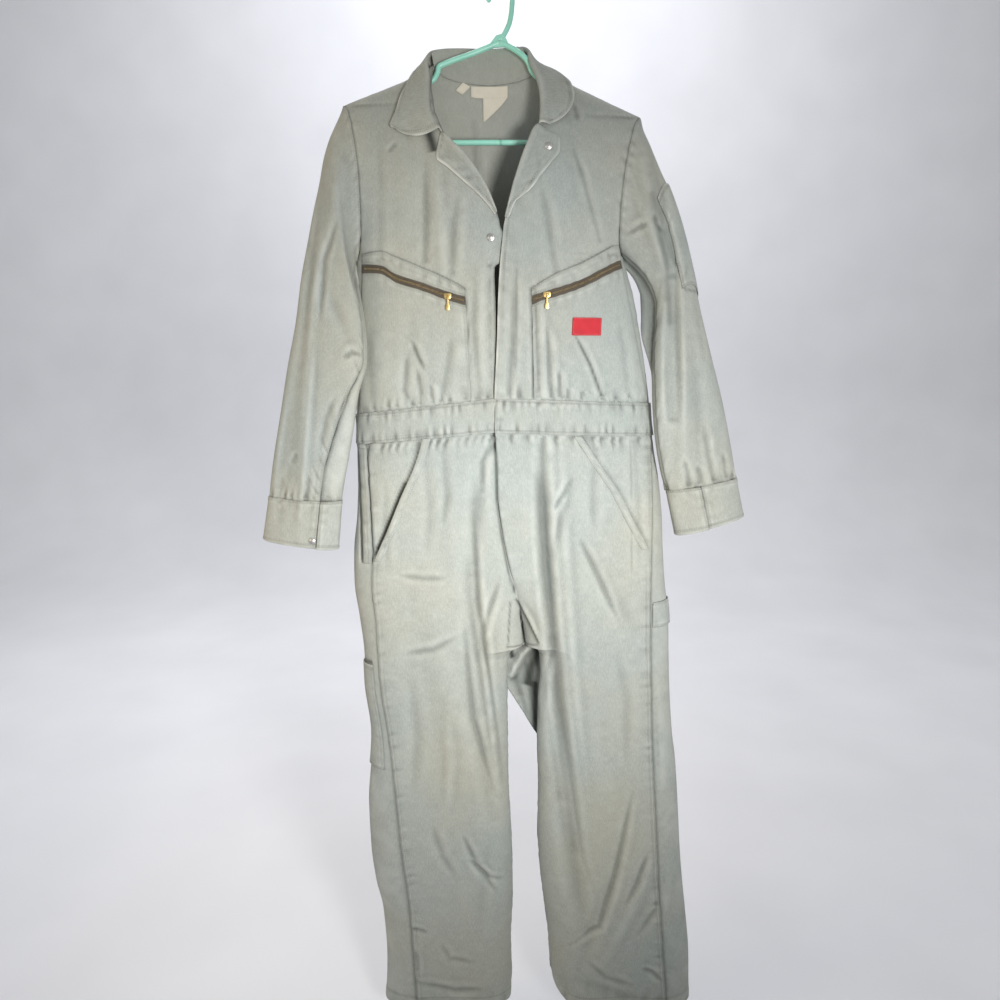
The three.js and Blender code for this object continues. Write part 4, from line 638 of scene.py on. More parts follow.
# The legs: an inner edge (centre front or back, then inseam) and the height of the outer end of each row.
legs = {
    "right": table("row innerX innerZ outerZ", [
        [0, -11, -661.6, -682.5], [1, -7, -715, -728], [2, -6, -768, -775], [3, 1, -820, -822],
            [4, 11, -872, -868],
        [5, 23, -925, -912], [6, 32, -968, -952], [7, 37.5, -1002, -990], [8, 40, -1024, -1024],
        [9, 26, -1030, -1050], [10, 16, -1042, -1075], [11, 13, -1072, -1104], [12, 13, -1130, -1146],
        [13, 14, -1200, -1206], [14, 15, -1272, -1274], [15, 19, -1345, -1345], [16, 22, -1420, -1420],
        [17, 23, -1500, -1500], [18, 20, -1580, -1580], [19, 22, -1645, -1645], [20, 19, -1700, -1700],
    ]),
    "left": table("row innerX innerZ outerZ", [
        [0, -8.5, -661.6, -668.5], [1, -4, -715, -718], [2, -3, -768, -770], [3, 4, -820, -820],
            [4, 14, -872, -868],
        [5, 26, -925, -912], [6, 35, -968, -952], [7, 40.5, -1002, -990], [8, 43, -1024, -1024],
        [9, 56, -1028, -1050], [10, 66, -1040, -1075], [11, 68, -1068, -1104], [12, 65, -1125, -1146],
        [13, 64, -1200, -1206], [14, 67, -1282, -1280], [15, 66, -1362, -1354], [16, 71, -1440, -1428],
        [17, 80, -1515, -1502], [18, 87, -1572, -1576], [19, 90, -1614, -1645], [20, 93, -1646, -1704],
    ]),
}
crotchRow, crotchZ, legRows = 8, -1024, 20
legOutlines = {
    "right": table("z side seam", [
        [-640, -232, -214], [-690, -233, -213], [-744, -233, -210], [-800, -236, -208], [-860, -243, -207],
        [-914, -244, -209], [-975, -237, -205], [-1037, -231, -203], [-1091, -230, -200], [-1182, -221, -189],
        [-1229, -224, -184], [-1314, -231, -177], [-1401, -229, -170], [-1466, -222, -162],
            [-1520, -211, -158],
        [-1612, -206, -153], [-1716, -211, -147],
    ]),
    "left": table("z side seam", [
        [-640, 244, 238], [-690, 250, 243], [-744, 260, 244.5], [-800, 267, 245.5], [-860, 271, 246],
        [-914, 276, 246.5], [-975, 284, 248], [-1037, 287, 250], [-1091, 290, 253], [-1182, 298, 258],
        [-1229, 305, 261], [-1314, 313, 267], [-1401, 320, 274], [-1466, 327, 279], [-1520, 334, 284],
        [-1612, 344, 292], [-1716, 348, 303],
    ]),
}
legDepths = table("z front back", [
    [-660, 50, 38], [-850, 46, 37], [-1020, 42, 35], [-1200, 38, 32], [-1450, 36, 30], [-1700, 35, 29],
])
legRound = {"outer": 70, "inner": 62, "hipBlend": 120, "crotchFade": 150, "hemCorner": 10}


def quarter(distance, width):
    return np.sqrt(1 - (1 - clamp(distance / width, 0, 1)) ** 2)


def innerLine(side, z):
    return read({"key": "innerZ", "innerZ": legs[side]["innerZ"], "innerX": legs[side]["innerX"]}, "innerX",
        z)


def besideInseam(x, z):
    right, left = innerLine("right", z), innerLine("left", z)
    beside = quarter(np.where(x < (right + left) / 2, right - x, x - left), legRound["inner"])
    aboveFork = mix(1, beside, smooth((crotchZ + legRound["crotchFade"] - z) / legRound["crotchFade"]))
    return np.where(z > crotchZ, aboveFork, beside)


def legY(layer, x, z):
    zone = "legFront" if layer == "front" else "legBack"
    outer = np.minimum(x - read(legOutlines["right"], "side", z), read(legOutlines["left"], "side", z) - x)
    roundness = quarter(outer, legRound["outer"]) * besideInseam(x, z)
    folds = (relief(zone, x, z) + detail(zone, x, z)) * roundness
    depth = read(legDepths, layer, z) * roundness
    share = smooth((waist["middle"]["bottom"] - z) / legRound["hipBlend"])
    early = detail(zone, x, z) * roundness * (1 - share) * smooth((waistZ("bottom", x) - z) / 12)
    bodyDetail = detail(layer, x, z) * roundness * (1 - share) * smooth((waistZ("bottom", x) - z) / 30)
    sign = -1 if layer == "front" else 1
    return mix(bodyY(layer, x, z) + sign * (early - bodyDetail), sign * (depth + folds), share)


# The hip pockets' mouths: the cloth behind each one drops back, most in its lower half.
mouths = {
    "right": table("row x z", [[0, -121, -673], [1, -134, -714], [2, -159, -770], [3, -176, -811],
        [4, -192, -846], [5, -204, -872]]),
    "left": table("row x z", [[0, 128, -669], [1, 158, -714], [2, 186, -754], [3, 212, -802],
        [4, 241, -852]]),
}
mouthGape = {"right": 9.5, "left": 1.8, "reach": 27}
vent = {"top": -690, "foot": -876, "wide": 15, "near": 2.5, "depth": 5}


def mouthDrop(x, z):
    drop = 0
    for side, sign in (("right", -1), ("left", 1)):
        rows = mouths[side]
        line = read({"key": "z", "z": rows["z"], "x": rows["x"]}, "x", z)
        beyond = sign * (x - line) * 0.9
        t = (rows["z"][0] - z) / (rows["z"][0] - rows["z"][-1])
        gape = 0.25 * smooth(t / 0.1) + 0.75 * smooth(t / 0.75)
        gape = gape * smooth((1.04 - t) / 0.14) * smooth((t + 0.02) / 0.05)
        drop = drop + mouthGape[side] * gape * smooth(beyond / 2.5) * np.exp(-np.maximum(beyond,
            0) / mouthGape["reach"])
    return drop


def ventDrop(x, z):
    seam = read(legOutlines["right"], "seam", z)
    within = smooth((vent["top"] + 6 - z) / 12) * smooth((z - vent["foot"] + 6) / 12)
    lines = sum(np.exp(-((x - seam + at) / wide) ** 2) * deep for at, wide,
        deep in ((1.0, 2.4, 1), (vent["wide"] + 2.5, 3, 0.9)))
    return vent["depth"] * within * lines


def onLeg(layer, x, z):
    x, z = np.broadcast_arrays(np.asarray(x, float), np.asarray(z, float))
    drop = mouthDrop(x, z) + ventDrop(x, z) if layer == "front" else 0
    return place(x, legY(layer, x, z) + drop, z)


def legRow(side, row):
    at = {name: read(legs[side], name, row) for name in ("innerX", "innerZ", "outerZ")}
    other = read(legs["left" if side == "right" else "right"], "innerX", row)
    at["backX"] = mix((at["innerX"] + other) / 2, at["innerX"], clamp(row - crotchRow, 0, 1))
    at["sideX"], at["seamX"] = (read(legOutlines[side], name, at["outerZ"]) for name in ("side", "seam"))
    return at


def rowHeight(at, share, row):
    power = mix(1, legRound["hemCorner"], smooth((row - 16) / 4))
    return mix(at["outerZ"], at["innerZ"], clamp(share, 0, 1) ** power)


def legFrontSurface(side):
    def surface(u, v):
        u, v = np.broadcast_arrays(np.asarray(u, float), np.asarray(v, float))
        row = v * legRows
        at = legRow(side, row)
        share = u if side == "right" else 1 - u
        point = onLeg("front", mix(at["seamX"], at["innerX"], share), rowHeight(at, share, row))
        if side == "right":
            flyOnly = 1 - smooth((row - 4.5) / 2)
            near = clamp(1 - (at["innerX"] - point[..., 0]) / 14, 0, 1) * flyOnly
            point[..., 0] += underlap["width"] * near ** 1.5
            point[..., 1] += underlap["depth"] * smooth(near)
        return point

    return surface


def legWrap(side, spot, row):  # 0 at the inner edge, 1 across the back, 2 round the side, 3 at the front seam
    spot, row = np.broadcast_arrays(np.asarray(spot, float), np.asarray(row, float))
    at = legRow(side, row)
    sign = 1 if side == "right" else -1
    outer = legRound["outer"]
    seamAngle = np.arccos(1 - np.abs(at["seamX"] - at["sideX"]) / outer)
    behind = mix(at["backX"], at["sideX"] + sign * outer, clamp(spot, 0, 1))
    roundness = at["sideX"] + sign * outer * (1 - np.cos(math.pi / 2 * clamp(2 - spot, 0, 1)))
    ahead = at["sideX"] + sign * outer * (1 - np.cos(seamAngle * clamp(spot - 2, 0, 1)))
    x = np.where(spot <= 1, behind, np.where(spot <= 2, roundness, ahead))
    z = rowHeight(at, (x - at["sideX"]) / (at["backX"] - at["sideX"]), row)
    z = np.where(spot <= 2, z, at["outerZ"])
    return place(x, np.where(spot <= 2, legY("back", x, z), onLeg("front", x, z)[..., 1]), z)


def legBackSurface(side):
    return lambda u, v: legWrap(side, 3 * np.asarray(u if side == "right" else 1 - np.asarray(u)),
        np.asarray(v) * legRows)


# Finishes. Uniform values go on the shader's own sockets.
def newMaterial(name, color, roughness, **sockets):
    material = bpy.data.materials.new(name)
    material.use_nodes = True
    material.diffuse_color = (*color, 1)
    shader = material.node_tree.nodes["Principled BSDF"]
    shader.inputs["Base Color"].default_value = (*color, 1)
    shader.inputs["Roughness"].default_value = roughness
    for socket, value in sockets.items():
        shader.inputs[socket.replace("_", " ")].default_value = value
    return material, shader


def addNode(material, kind, values=(), **settings):
    node = material.node_tree.nodes.new(kind)
    for name, value in settings.items():
        setattr(node, name, value)
    for socket, value in dict(values).items():
        node.inputs[socket].default_value = value
    return node


def join(material, source, target):
    material.node_tree.links.new(source, target)


def mixColors(material, factor, a, b, blend="MIX"):
    node = addNode(material, "ShaderNodeMix", data_type="RGBA", blend_type=blend)
    for value, socket in ((factor, node.inputs[0]), (a, node.inputs[6]), (b, node.inputs[7])):
        if isinstance(value, (int, float, tuple)):
            socket.default_value = value
        else:
            join(material, value, socket)
    return node.outputs[2]


def ramp(material, source, stops):
    node = addNode(material, "ShaderNodeValToRGB")
    elements = node.color_ramp.elements
    while len(elements) < len(stops):
        elements.new(0.5)
    for element, (position, value) in zip(elements, stops):
        element.position = position
        element.color = (value, value, value, 1) if isinstance(value, (int, float)) else (*value, 1)
    join(material, source, node.inputs[0])
    return node.outputs[0]


twillLook = {
    "sage": (0.325, 0.358, 0.340),
    "beige": (0.372, 0.374, 0.318),
    # near black, for the weave's dark threads and mottle, and also for the painted shade
    "deep": (0.030, 0.034, 0.028),
    "worn": (0.640, 0.650, 0.600),
    "wale": 0.9,  # millimetres between the twill's diagonal ridges
    "roughness": 0.84,
    "sheen": 0.06,
}


def clothMaterial(name, look, inside=False):
    material, shader = newMaterial(name, look["sage"], look["roughness"], Sheen_Weight=look["sheen"],
        Sheen_Roughness=0.45)
    coordinates = addNode(material, "ShaderNodeTexCoord")
    patches = addNode(material, "ShaderNodeTexNoise", {"Scale": 3.4, "Detail": 3, "Roughness": 0.55})
    join(material, coordinates.outputs["Object"], patches.inputs["Vector"])
    mottle = addNode(material, "ShaderNodeTexNoise", {"Scale": 55, "Detail": 4, "Roughness": 0.6})
    join(material, coordinates.outputs["Object"], mottle.inputs["Vector"])
    slub = addNode(material, "ShaderNodeTexNoise", {"Scale": 1, "Detail": 2})
    stretched = addNode(material, "ShaderNodeMapping", {"Scale": (560, 110, 1)})
    join(material, coordinates.outputs["UV"], stretched.inputs["Vector"])
    join(material, stretched.outputs["Vector"], slub.inputs["Vector"])
    wear = addNode(material, "ShaderNodeAttribute", attribute_name="wear")
    paintedShade = addNode(material, "ShaderNodeAttribute", attribute_name="paintedShade")
    tone = mixColors(material, ramp(material, patches.outputs["Fac"], [(0.36, 0.0), (0.66, 1.0)]),
        (*look["sage"], 1), (*look["beige"], 1))
    grain = addNode(material, "ShaderNodeTexNoise", {"Scale": 430, "Detail": 3, "Roughness": 0.7})
    join(material, coordinates.outputs["Object"], grain.inputs["Vector"])
    tone = mixColors(material, ramp(material, mottle.outputs["Fac"], [(0.35, 0.08), (0.7, 0.0)]), tone,
        (*look["deep"], 1))
    tone = mixColors(material, ramp(material, grain.outputs["Fac"], [(0.4, 0.12), (0.62, 0.0)]), tone,
        (*look["deep"], 1))
    tone = mixColors(material, ramp(material, slub.outputs["Fac"], [(0.45, 0.0), (0.7, 0.13)]), tone,
        (*look["worn"], 1))
    tone = mixColors(material, wear.outputs["Fac"], tone, (*look["worn"], 1))
    # painted shade from the cloth's shade attribute, darkening it towards near black
    tone = mixColors(material, paintedShade.outputs["Fac"], tone, (*look["deep"], 1))
    if inside:
        tone = mixColors(material, 0.18, tone, (*look["worn"], 1))
    # the twill's diagonal ridges, in the cloth's own measure
    turned = addNode(material, "ShaderNodeMapping", {"Rotation": (0, 0, math.radians(-58 if inside else 58))})
    join(material, coordinates.outputs["UV"], turned.inputs["Vector"])
    wales = addNode(material, "ShaderNodeTexWave",
        {"Scale": 1000 / look["wale"] / 6.283 * 1.0, "Distortion": 0.7, "Detail": 1, "Detail Scale": 2},
                    wave_type="BANDS", bands_direction="X", wave_profile="SIN")
    join(material, turned.outputs["Vector"], wales.inputs["Vector"])
    tone = mixColors(material, ramp(material, wales.outputs["Fac"], [(0.0, 0.1), (0.75, 0.0)]), tone,
        (*look["deep"], 1))
    join(material, tone, shader.inputs["Base Color"])
    weave = addNode(material, "ShaderNodeBump", {"Strength": 0.35, "Distance": 0.0003})
    join(material, wales.outputs["Fac"], weave.inputs["Height"])
    crumple = addNode(material, "ShaderNodeTexNoise", {"Scale": 95, "Detail": 3, "Roughness": 0.5})
    join(material, coordinates.outputs["Object"], crumple.inputs["Vector"])
    uneven = addNode(material, "ShaderNodeBump", {"Strength": 0.35, "Distance": 0.0016})
    join(material, crumple.outputs["Fac"], uneven.inputs["Height"])
    join(material, weave.outputs["Normal"], uneven.inputs["Normal"])
    join(material, uneven.outputs["Normal"], shader.inputs["Normal"])
    join(material, ramp(material, mottle.outputs["Fac"], [(0.3, 0.92), (0.7, 0.8)]),
        shader.inputs["Roughness"])
    return material


def threadMaterial(name, color):
    material, shader = newMaterial(name, color, 0.7, Sheen_Weight=0.3)
    coordinates = addNode(material, "ShaderNodeTexCoord")
    shade = addNode(material, "ShaderNodeTexNoise", {"Scale": 240, "Detail": 2})
    join(material, coordinates.outputs["Object"], shade.inputs["Vector"])
    darker = tuple(0.72 * channel for channel in color)
    join(material, mixColors(material, ramp(material, shade.outputs["Fac"], [(0.35, 0.0), (0.7, 1.0)]),
        (*color, 1), (*darker, 1)), shader.inputs["Base Color"])
    return material


def wovenMaterial(name, color, dark, pitch, roughness=0.8):  # ribbon, label and badge cloth
    material, shader = newMaterial(name, color, roughness, Sheen_Weight=0.2)
    coordinates = addNode(material, "ShaderNodeTexCoord")
    ribs = addNode(material, "ShaderNodeTexWave",
        {"Scale": 1000 / pitch / 6.283, "Distortion": 0.5, "Detail": 1},
                   wave_type="BANDS", bands_direction="DIAGONAL")
    join(material, coordinates.outputs["UV"], ribs.inputs["Vector"])
    blotch = addNode(material, "ShaderNodeTexNoise", {"Scale": 60, "Detail": 3})
    join(material, coordinates.outputs["Object"], blotch.inputs["Vector"])
    tone = mixColors(material, ramp(material, ribs.outputs["Fac"], [(0.0, 0.4), (0.8, 0.0)]), (*color, 1),
        (*dark, 1))
    tone = mixColors(material, ramp(material, blotch.outputs["Fac"], [(0.4, 0.0), (0.75, 0.5)]), tone,
        (*dark, 1))
    join(material, tone, shader.inputs["Base Color"])
    bump = addNode(material, "ShaderNodeBump", {"Strength": 0.5, "Distance": 0.0003})
    join(material, ribs.outputs["Fac"], bump.inputs["Height"])
    join(material, bump.outputs["Normal"], shader.inputs["Normal"])
    return material


def metalMaterial(name, color, dark, roughness):
    material, shader = newMaterial(name, color, roughness, Metallic=1.0)
    coordinates = addNode(material, "ShaderNodeTexCoord")
    tarnish = addNode(material, "ShaderNodeTexNoise", {"Scale": 260, "Detail": 5, "Roughness": 0.65})
    join(material, coordinates.outputs["Object"], tarnish.inputs["Vector"])
    join(material, mixColors(material, ramp(material, tarnish.outputs["Fac"], [(0.45, 0.0), (0.75, 0.8)]),
        (*color, 1), (*dark, 1)), shader.inputs["Base Color"])
    join(material, ramp(material, tarnish.outputs["Fac"], [(0.3, roughness), (0.75, roughness + 0.25)]),
        shader.inputs["Roughness"])
    scratch = addNode(material, "ShaderNodeBump", {"Strength": 0.15, "Distance": 0.0002})
    join(material, tarnish.outputs["Fac"], scratch.inputs["Height"])
    join(material, scratch.outputs["Normal"], shader.inputs["Normal"])
    return material


def hangerMaterial():
    color, pale = (0.330, 0.760, 0.600), (0.420, 0.840, 0.690)
    material, shader = newMaterial("mint plastic", color, 0.34, Coat_Weight=0.25, Coat_Roughness=0.2)
    shader.inputs["Subsurface Weight"].default_value = 0.12
    shader.inputs["Subsurface Radius"].default_value = (0.004, 0.006, 0.005)
    coordinates = addNode(material, "ShaderNodeTexCoord")
    flow = addNode(material, "ShaderNodeTexNoise", {"Scale": 22, "Detail": 3})
    join(material, coordinates.outputs["Object"], flow.inputs["Vector"])
    scuffs = addNode(material, "ShaderNodeTexNoise", {"Scale": 320, "Detail": 4, "Roughness": 0.7})
    join(material, coordinates.outputs["Object"], scuffs.inputs["Vector"])
    join(material, mixColors(material, ramp(material, flow.outputs["Fac"], [(0.35, 0.0), (0.7, 1.0)]),
        (*color, 1), (*pale, 1)), shader.inputs["Base Color"])
    join(material, ramp(material, scuffs.outputs["Fac"], [(0.4, 0.28), (0.75, 0.5)]),
        shader.inputs["Roughness"])
    bump = addNode(material, "ShaderNodeBump", {"Strength": 0.1, "Distance": 0.0003})
    join(material, scuffs.outputs["Fac"], bump.inputs["Height"])
    join(material, bump.outputs["Normal"], shader.inputs["Normal"])
    return material


twill = clothMaterial("sage twill", twillLook)
twillInside = clothMaterial("sage twill inside", twillLook, inside=True)
sageThread = threadMaterial("sage thread", (0.52, 0.53, 0.45))
redThread = threadMaterial("red thread", (0.70, 0.11, 0.11))
creamThread = threadMaterial("cream thread", (0.78, 0.74, 0.62))
tapeCloth = wovenMaterial("brown zip tape", (0.082, 0.066, 0.044), (0.034, 0.027, 0.019), 0.8)
badgeCloth = wovenMaterial("red badge", (0.500, 0.014, 0.026), (0.300, 0.008, 0.014), 0.7)
labelCloth = wovenMaterial("cream label", (0.78, 0.72, 0.60), (0.62, 0.56, 0.44), 0.6)
brass = metalMaterial("brass", (0.68, 0.50, 0.20), (0.22, 0.15, 0.06), 0.3)
oldBrass = metalMaterial("old brass", (0.42, 0.33, 0.19), (0.13, 0.10, 0.06), 0.4)
steel = metalMaterial("steel", (0.66, 0.65, 0.62), (0.34, 0.33, 0.31), 0.28)
mint = hangerMaterial()
print("finishes made")


def meshObject(name, vertices, faces, materials, body="suit", slot=None, replaced=(), faceMaterials=None):
    name = f"sewn_{name}" if name in replaced else name
    mesh = bpy.data.meshes.new(name)
    mesh.from_pydata((np.asarray(vertices) * millimetre).tolist(), [], faces)
    for material in materials:
        mesh.materials.append(material)
    mesh.polygons.foreach_set("use_smooth", np.ones(len(mesh.polygons), bool))
    if faceMaterials is not None:
        mesh.polygons.foreach_set("material_index", np.asarray(faceMaterials, np.int32))
    mesh.update()
    thing = bpy.data.objects.new(name, mesh)
    bpy.context.scene.collection.objects.link(thing)
    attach(thing, body)
    if replaced:
        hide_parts(*replaced)
    return thing


# Stitches wait here until every panel has its own, then each group becomes one mesh.
stitchRuns = {}
stitch = {"length": 2.6, "gap": 1.1, "radius": 0.34, "lift": 0.12}


def addRun(group, points, normals):
    if len(points) > 1:
        stitchRuns.setdefault(group, []).append((np.asarray(points), np.asarray(normals)))


def cumulative(points, axis):
    steps = np.linalg.norm(np.diff(points, axis=axis), axis=-1)
    start = np.zeros_like(np.take(steps, [0], axis=axis))
    return np.concatenate([start, np.cumsum(steps, axis=axis)], axis=axis)


def evenStops(surface, alongU, count, dense=241):
    fine, few = np.linspace(0, 1, dense), np.linspace(0.02, 0.98, 13)
    points = surface(fine[None, :], few[:, None]) if alongU else surface(few[None, :], fine[:, None])
    travelled = cumulative(points, 1 if alongU else 0)
    travelled = travelled.mean(axis=0 if alongU else 1)
    return np.interp(np.linspace(0, travelled[-1], count + 1), travelled, fine), travelled[-1]


def gridNormals(points):
    down, across = np.gradient(points, axis=0), np.gradient(points, axis=1)
    normals = np.cross(down, across)
    return normals / np.maximum(np.linalg.norm(normals, axis=-1, keepdims=True), 1e-9)


# Seams: how far the folded allowance stands up, where it is stitched, and how much the cloth puckers; dark is the
# painted shadow line along the seam's edge.
seamKinds = {
    "felled": {"rise": 0.6, "width": 9, "stitches": (1.8, 7.6), "pucker": 0.9, "waves": 8, "worn": 0.4,
        "dark": 0.4},
    "single": {"rise": 0.4, "width": 6, "stitches": (1.8,), "pucker": 0.8, "waves": 8, "worn": 0.4,
        "dark": 0.25},
    "plain": {"rise": -0.3, "width": 3, "stitches": (), "pucker": 0.7, "waves": 10, "worn": 0, "dark": 0.5},
    "soft": {"rise": 0, "width": 3, "stitches": (), "pucker": 0.3, "waves": 10, "worn": 0, "dark": 0.15},
    "turned": {"rise": 0.2, "width": 4, "stitches": (1.4,), "pucker": 0.5, "waves": 9, "worn": 0.3,
        "dark": 0.1},
    "edge": {"rise": 0.4, "width": 8, "stitches": (6.5,), "pucker": 0.5, "waves": 10, "worn": 0.8, "dark": 0},
    "hem": {"rise": 0.7, "width": 24, "stitches": (22,), "pucker": 1.2, "waves": 12, "worn": 0.5, "dark": 0},
    "gathered": {"rise": -0.2, "width": 10, "stitches": (), "pucker": 2.3, "waves": 6.5, "worn": 0,
        "dark": 0.3},
    "band": {"rise": 0.3, "width": 8, "stitches": (2.0, 6.4), "pucker": 2.0, "waves": 5.6, "worn": 0.5,
        "dark": 0.15},
}


# zone picks the painted shade lines that a piece takes
def clothPiece(name, surface, seams=(), step=4.2, lift=0, wall=1.2, finish=None, slot="twill", group=None,
               restsOn=("hanger",), body="suit", pressed=0, node=True, zone=None):
    across, width = evenStops(surface, True, 40)
    down, length = evenStops(surface, False, 40)
    columns, rows = (max(3, round(size / step)) for size in (width, length))
    across, down = evenStops(surface, True, columns)[0], evenStops(surface, False, rows)[0]
    base = surface(across[None, :], down[:, None])
    normals = gridNormals(base)
    alongRow, alongColumn = cumulative(base, 1), cumulative(base, 0)
    toEdge = {
        "start": (alongRow, alongColumn), "end": (alongRow[:, -1:] - alongRow, alongColumn),
        "top": (alongColumn, alongRow), "bottom": (alongColumn[-1:, :] - alongColumn, alongRow),
    }
    height = np.full(base.shape[:2], float(lift))
    # wear lightens the cloth; shading collects the painted shade
    wearing, shading = np.zeros(base.shape[:2]), np.zeros(base.shape[:2])
    if pressed:  # a sewn-on piece lies flatter at its edges
        nearest = np.minimum.reduce([distance for distance, _ in toEdge.values()])
        height -= pressed * (1 - smooth(nearest / 9))
    for number, (edge, kind) in enumerate(dict(seams).items()):
        seam = seamKinds[kind]
        distance, along = toEdge[edge]
        height += seam["rise"] * (1 - smooth((distance - seam["width"] + 1) / 2)) * smooth(distance / 0.8 + 0.35)
        waves = softNoise(along, distance, seam["waves"], 40, 31 + number + len(name))
        fading = np.exp(-(distance / (seam["width"] + 7)) ** 2)
        height += seam["pucker"] * waves * fading
        # painted shade in the puckers' valleys
        shading += 0.16 * seam["pucker"] * clamp(-waves, 0, 1) * fading
        for row in seam["stitches"]:
            height -= 0.5 * np.exp(-((distance - row) / 1.4) ** 2)
            # painted shade in the stitch row's groove
            shading += 0.28 * np.exp(-((distance - row) / 1.3) ** 2)
        wearing += seam["worn"] * (np.exp(-(distance / 1.5) ** 2) + 0.3 * np.exp(-((distance - seam["width"]) / 1.8) ** 2))
        # painted shadow line along the seam's edge
        shading += seam["dark"] * np.exp(-(distance / 1.6) ** 2)
    points = base + normals * height[..., None]
    normals = gridNormals(points)
    bending = np.zeros(base.shape[:2])
    spread = 2
    middle = points[spread:-spread, spread:-spread]
    around = (points[2 * spread:, spread:-spread] + points[:-2 * spread, spread:-spread]
              + points[spread:-spread, 2 * spread:] + points[spread:-spread, :-2 * spread]) / 4
    bending[spread:-spread, spread:-spread] = np.einsum("ijk,ijk->ij", middle - around,
        normals[spread:-spread, spread:-spread])
    rub = softNoise(alongRow, alongColumn, 17, 17, 77) * 0.5 + 0.6
    wearing = clamp((wearing + clamp(bending * 0.4, 0, 0.25)) * rub, 0, 0.8)
    # painted shade in the cloth's concave bends, added to the seams' painted shade and the painted shade lines
    paintedShade = clamp(shading + clamp(-bending * 0.45, 0, 0.35) + paintedShadeAt(zone, points[..., 0], points[..., 2]),
        0, 1)
    rows, columns = points.shape[:2]
    inner = points - normals * wall
    vertices = np.concatenate([points.reshape(-1, 3), inner.reshape(-1, 3)])
    at = np.arange(rows * columns).reshape(rows, columns)
    under = at + rows * columns
    quads = [np.stack([at[:-1, :-1], at[1:, :-1], at[1:, 1:], at[:-1, 1:]], -1).reshape(-1, 4),
             np.stack([under[:-1, :-1], under[:-1, 1:], under[1:, 1:], under[1:, :-1]], -1).reshape(-1, 4)]
    loop = np.concatenate([at[0, :-1], at[:-1, -1], at[-1, :0:-1], at[:0:-1, 0]])
    # the rim is rounded with one more ring, halfway through the wall and a little proud
    outward = points.reshape(-1, 3)[loop] - np.concatenate([
        points[1, :-1], points[:-1, -2], points[-2, :0:-1], points[:0:-1, 1]])
    outward /= np.maximum(np.linalg.norm(outward, axis=-1, keepdims=True), 1e-9)
    ring = points.reshape(-1, 3)[loop] - normals.reshape(-1, 3)[loop] * wall / 2 + outward * wall * 0.45
    first = len(vertices)
    vertices = np.concatenate([vertices, ring])
    ringAt = np.arange(len(loop)) + first
    nextLoop, nextRing = np.roll(loop, -1), np.roll(ringAt, -1)
    quads.append(np.stack([loop, nextLoop, nextRing, ringAt], -1))
    quads.append(np.stack([ringAt, nextRing, nextLoop + rows * columns, loop + rows * columns], -1))
    faces = np.concatenate(quads)
    outerFaces = len(quads[0])
    materialAt = np.zeros(len(faces), int)
    materialAt[outerFaces:2 * outerFaces] = 1
    finishes = finish or (twill, twillInside)
    thing = meshObject(name, vertices, faces.tolist(), finishes, body, slot, (name,) if node else (),
        materialAt)
    mesh = thing.data
    flatU, flatV = np.broadcast_arrays(alongRow.mean(0)[None, :], alongColumn.mean(1)[:, None])
    flat = np.stack([flatU, flatV], -1).reshape(-1, 2) * millimetre
    flat = np.concatenate([flat, flat, flat[loop]])
    corners = np.empty(len(mesh.loops), np.int32)
    mesh.loops.foreach_get("vertex_index", corners)
    mesh.uv_layers.new(name="weave").data.foreach_set("uv", flat[corners].ravel())
    # the wear and the painted shade go to the shader as attributes; the inner layer takes less painted shade
    for attribute, values in (("wear", wearing), ("paintedShade", paintedShade)):
        values = values.ravel()
        layer = mesh.attributes.new(attribute, "FLOAT", "POINT")
        layer.data.foreach_set("value", np.concatenate([values, values * 0.4, values[loop]]))
    for edge, kind in dict(seams).items():
        for row in seamKinds[kind]["stitches"]:
            runAlongEdge(group or name, points, normals, toEdge[edge][0], edge, row)
    return points, normals


def runAlongEdge(group, points, normals, distance, edge, row):
    if edge in ("top", "bottom"):
        points, normals, distance = (np.swapaxes(values, 0, 1) for values in (points, normals, distance))
    found, facing = [], []
    for line, normal, away in zip(points, normals, distance):
        if away[0] > away[-1]:
            line, normal, away = line[::-1], normal[::-1], away[::-1]
        if away[-1] <= row:
            continue
        found.append([np.interp(row, away, line[:, k]) for k in range(3)])
        facing.append([np.interp(row, away, normal[:, k]) for k in range(3)])
    addRun(group, found, facing)


def runOn(group, onSurface, line, lift=0.0):  # a stitched line through points in x and z
    line = np.asarray(line, float)
    travelled = cumulative(line[None], 1)[0]
    fine = np.arange(0, travelled[-1], 3.0)
    x, z = np.interp(fine, travelled, line[:, 0]), np.interp(fine, travelled, line[:, 1])
    points = onSurface(x, z)
    tilt = 1.0
    slopeX = (onSurface(x + tilt, z) - onSurface(x - tilt, z))
    slopeZ = (onSurface(x, z + tilt) - onSurface(x, z - tilt))
    normals = np.cross(slopeX, slopeZ)
    normals /= np.linalg.norm(normals, axis=-1, keepdims=True)
    addRun(group, points + normals * lift, normals)


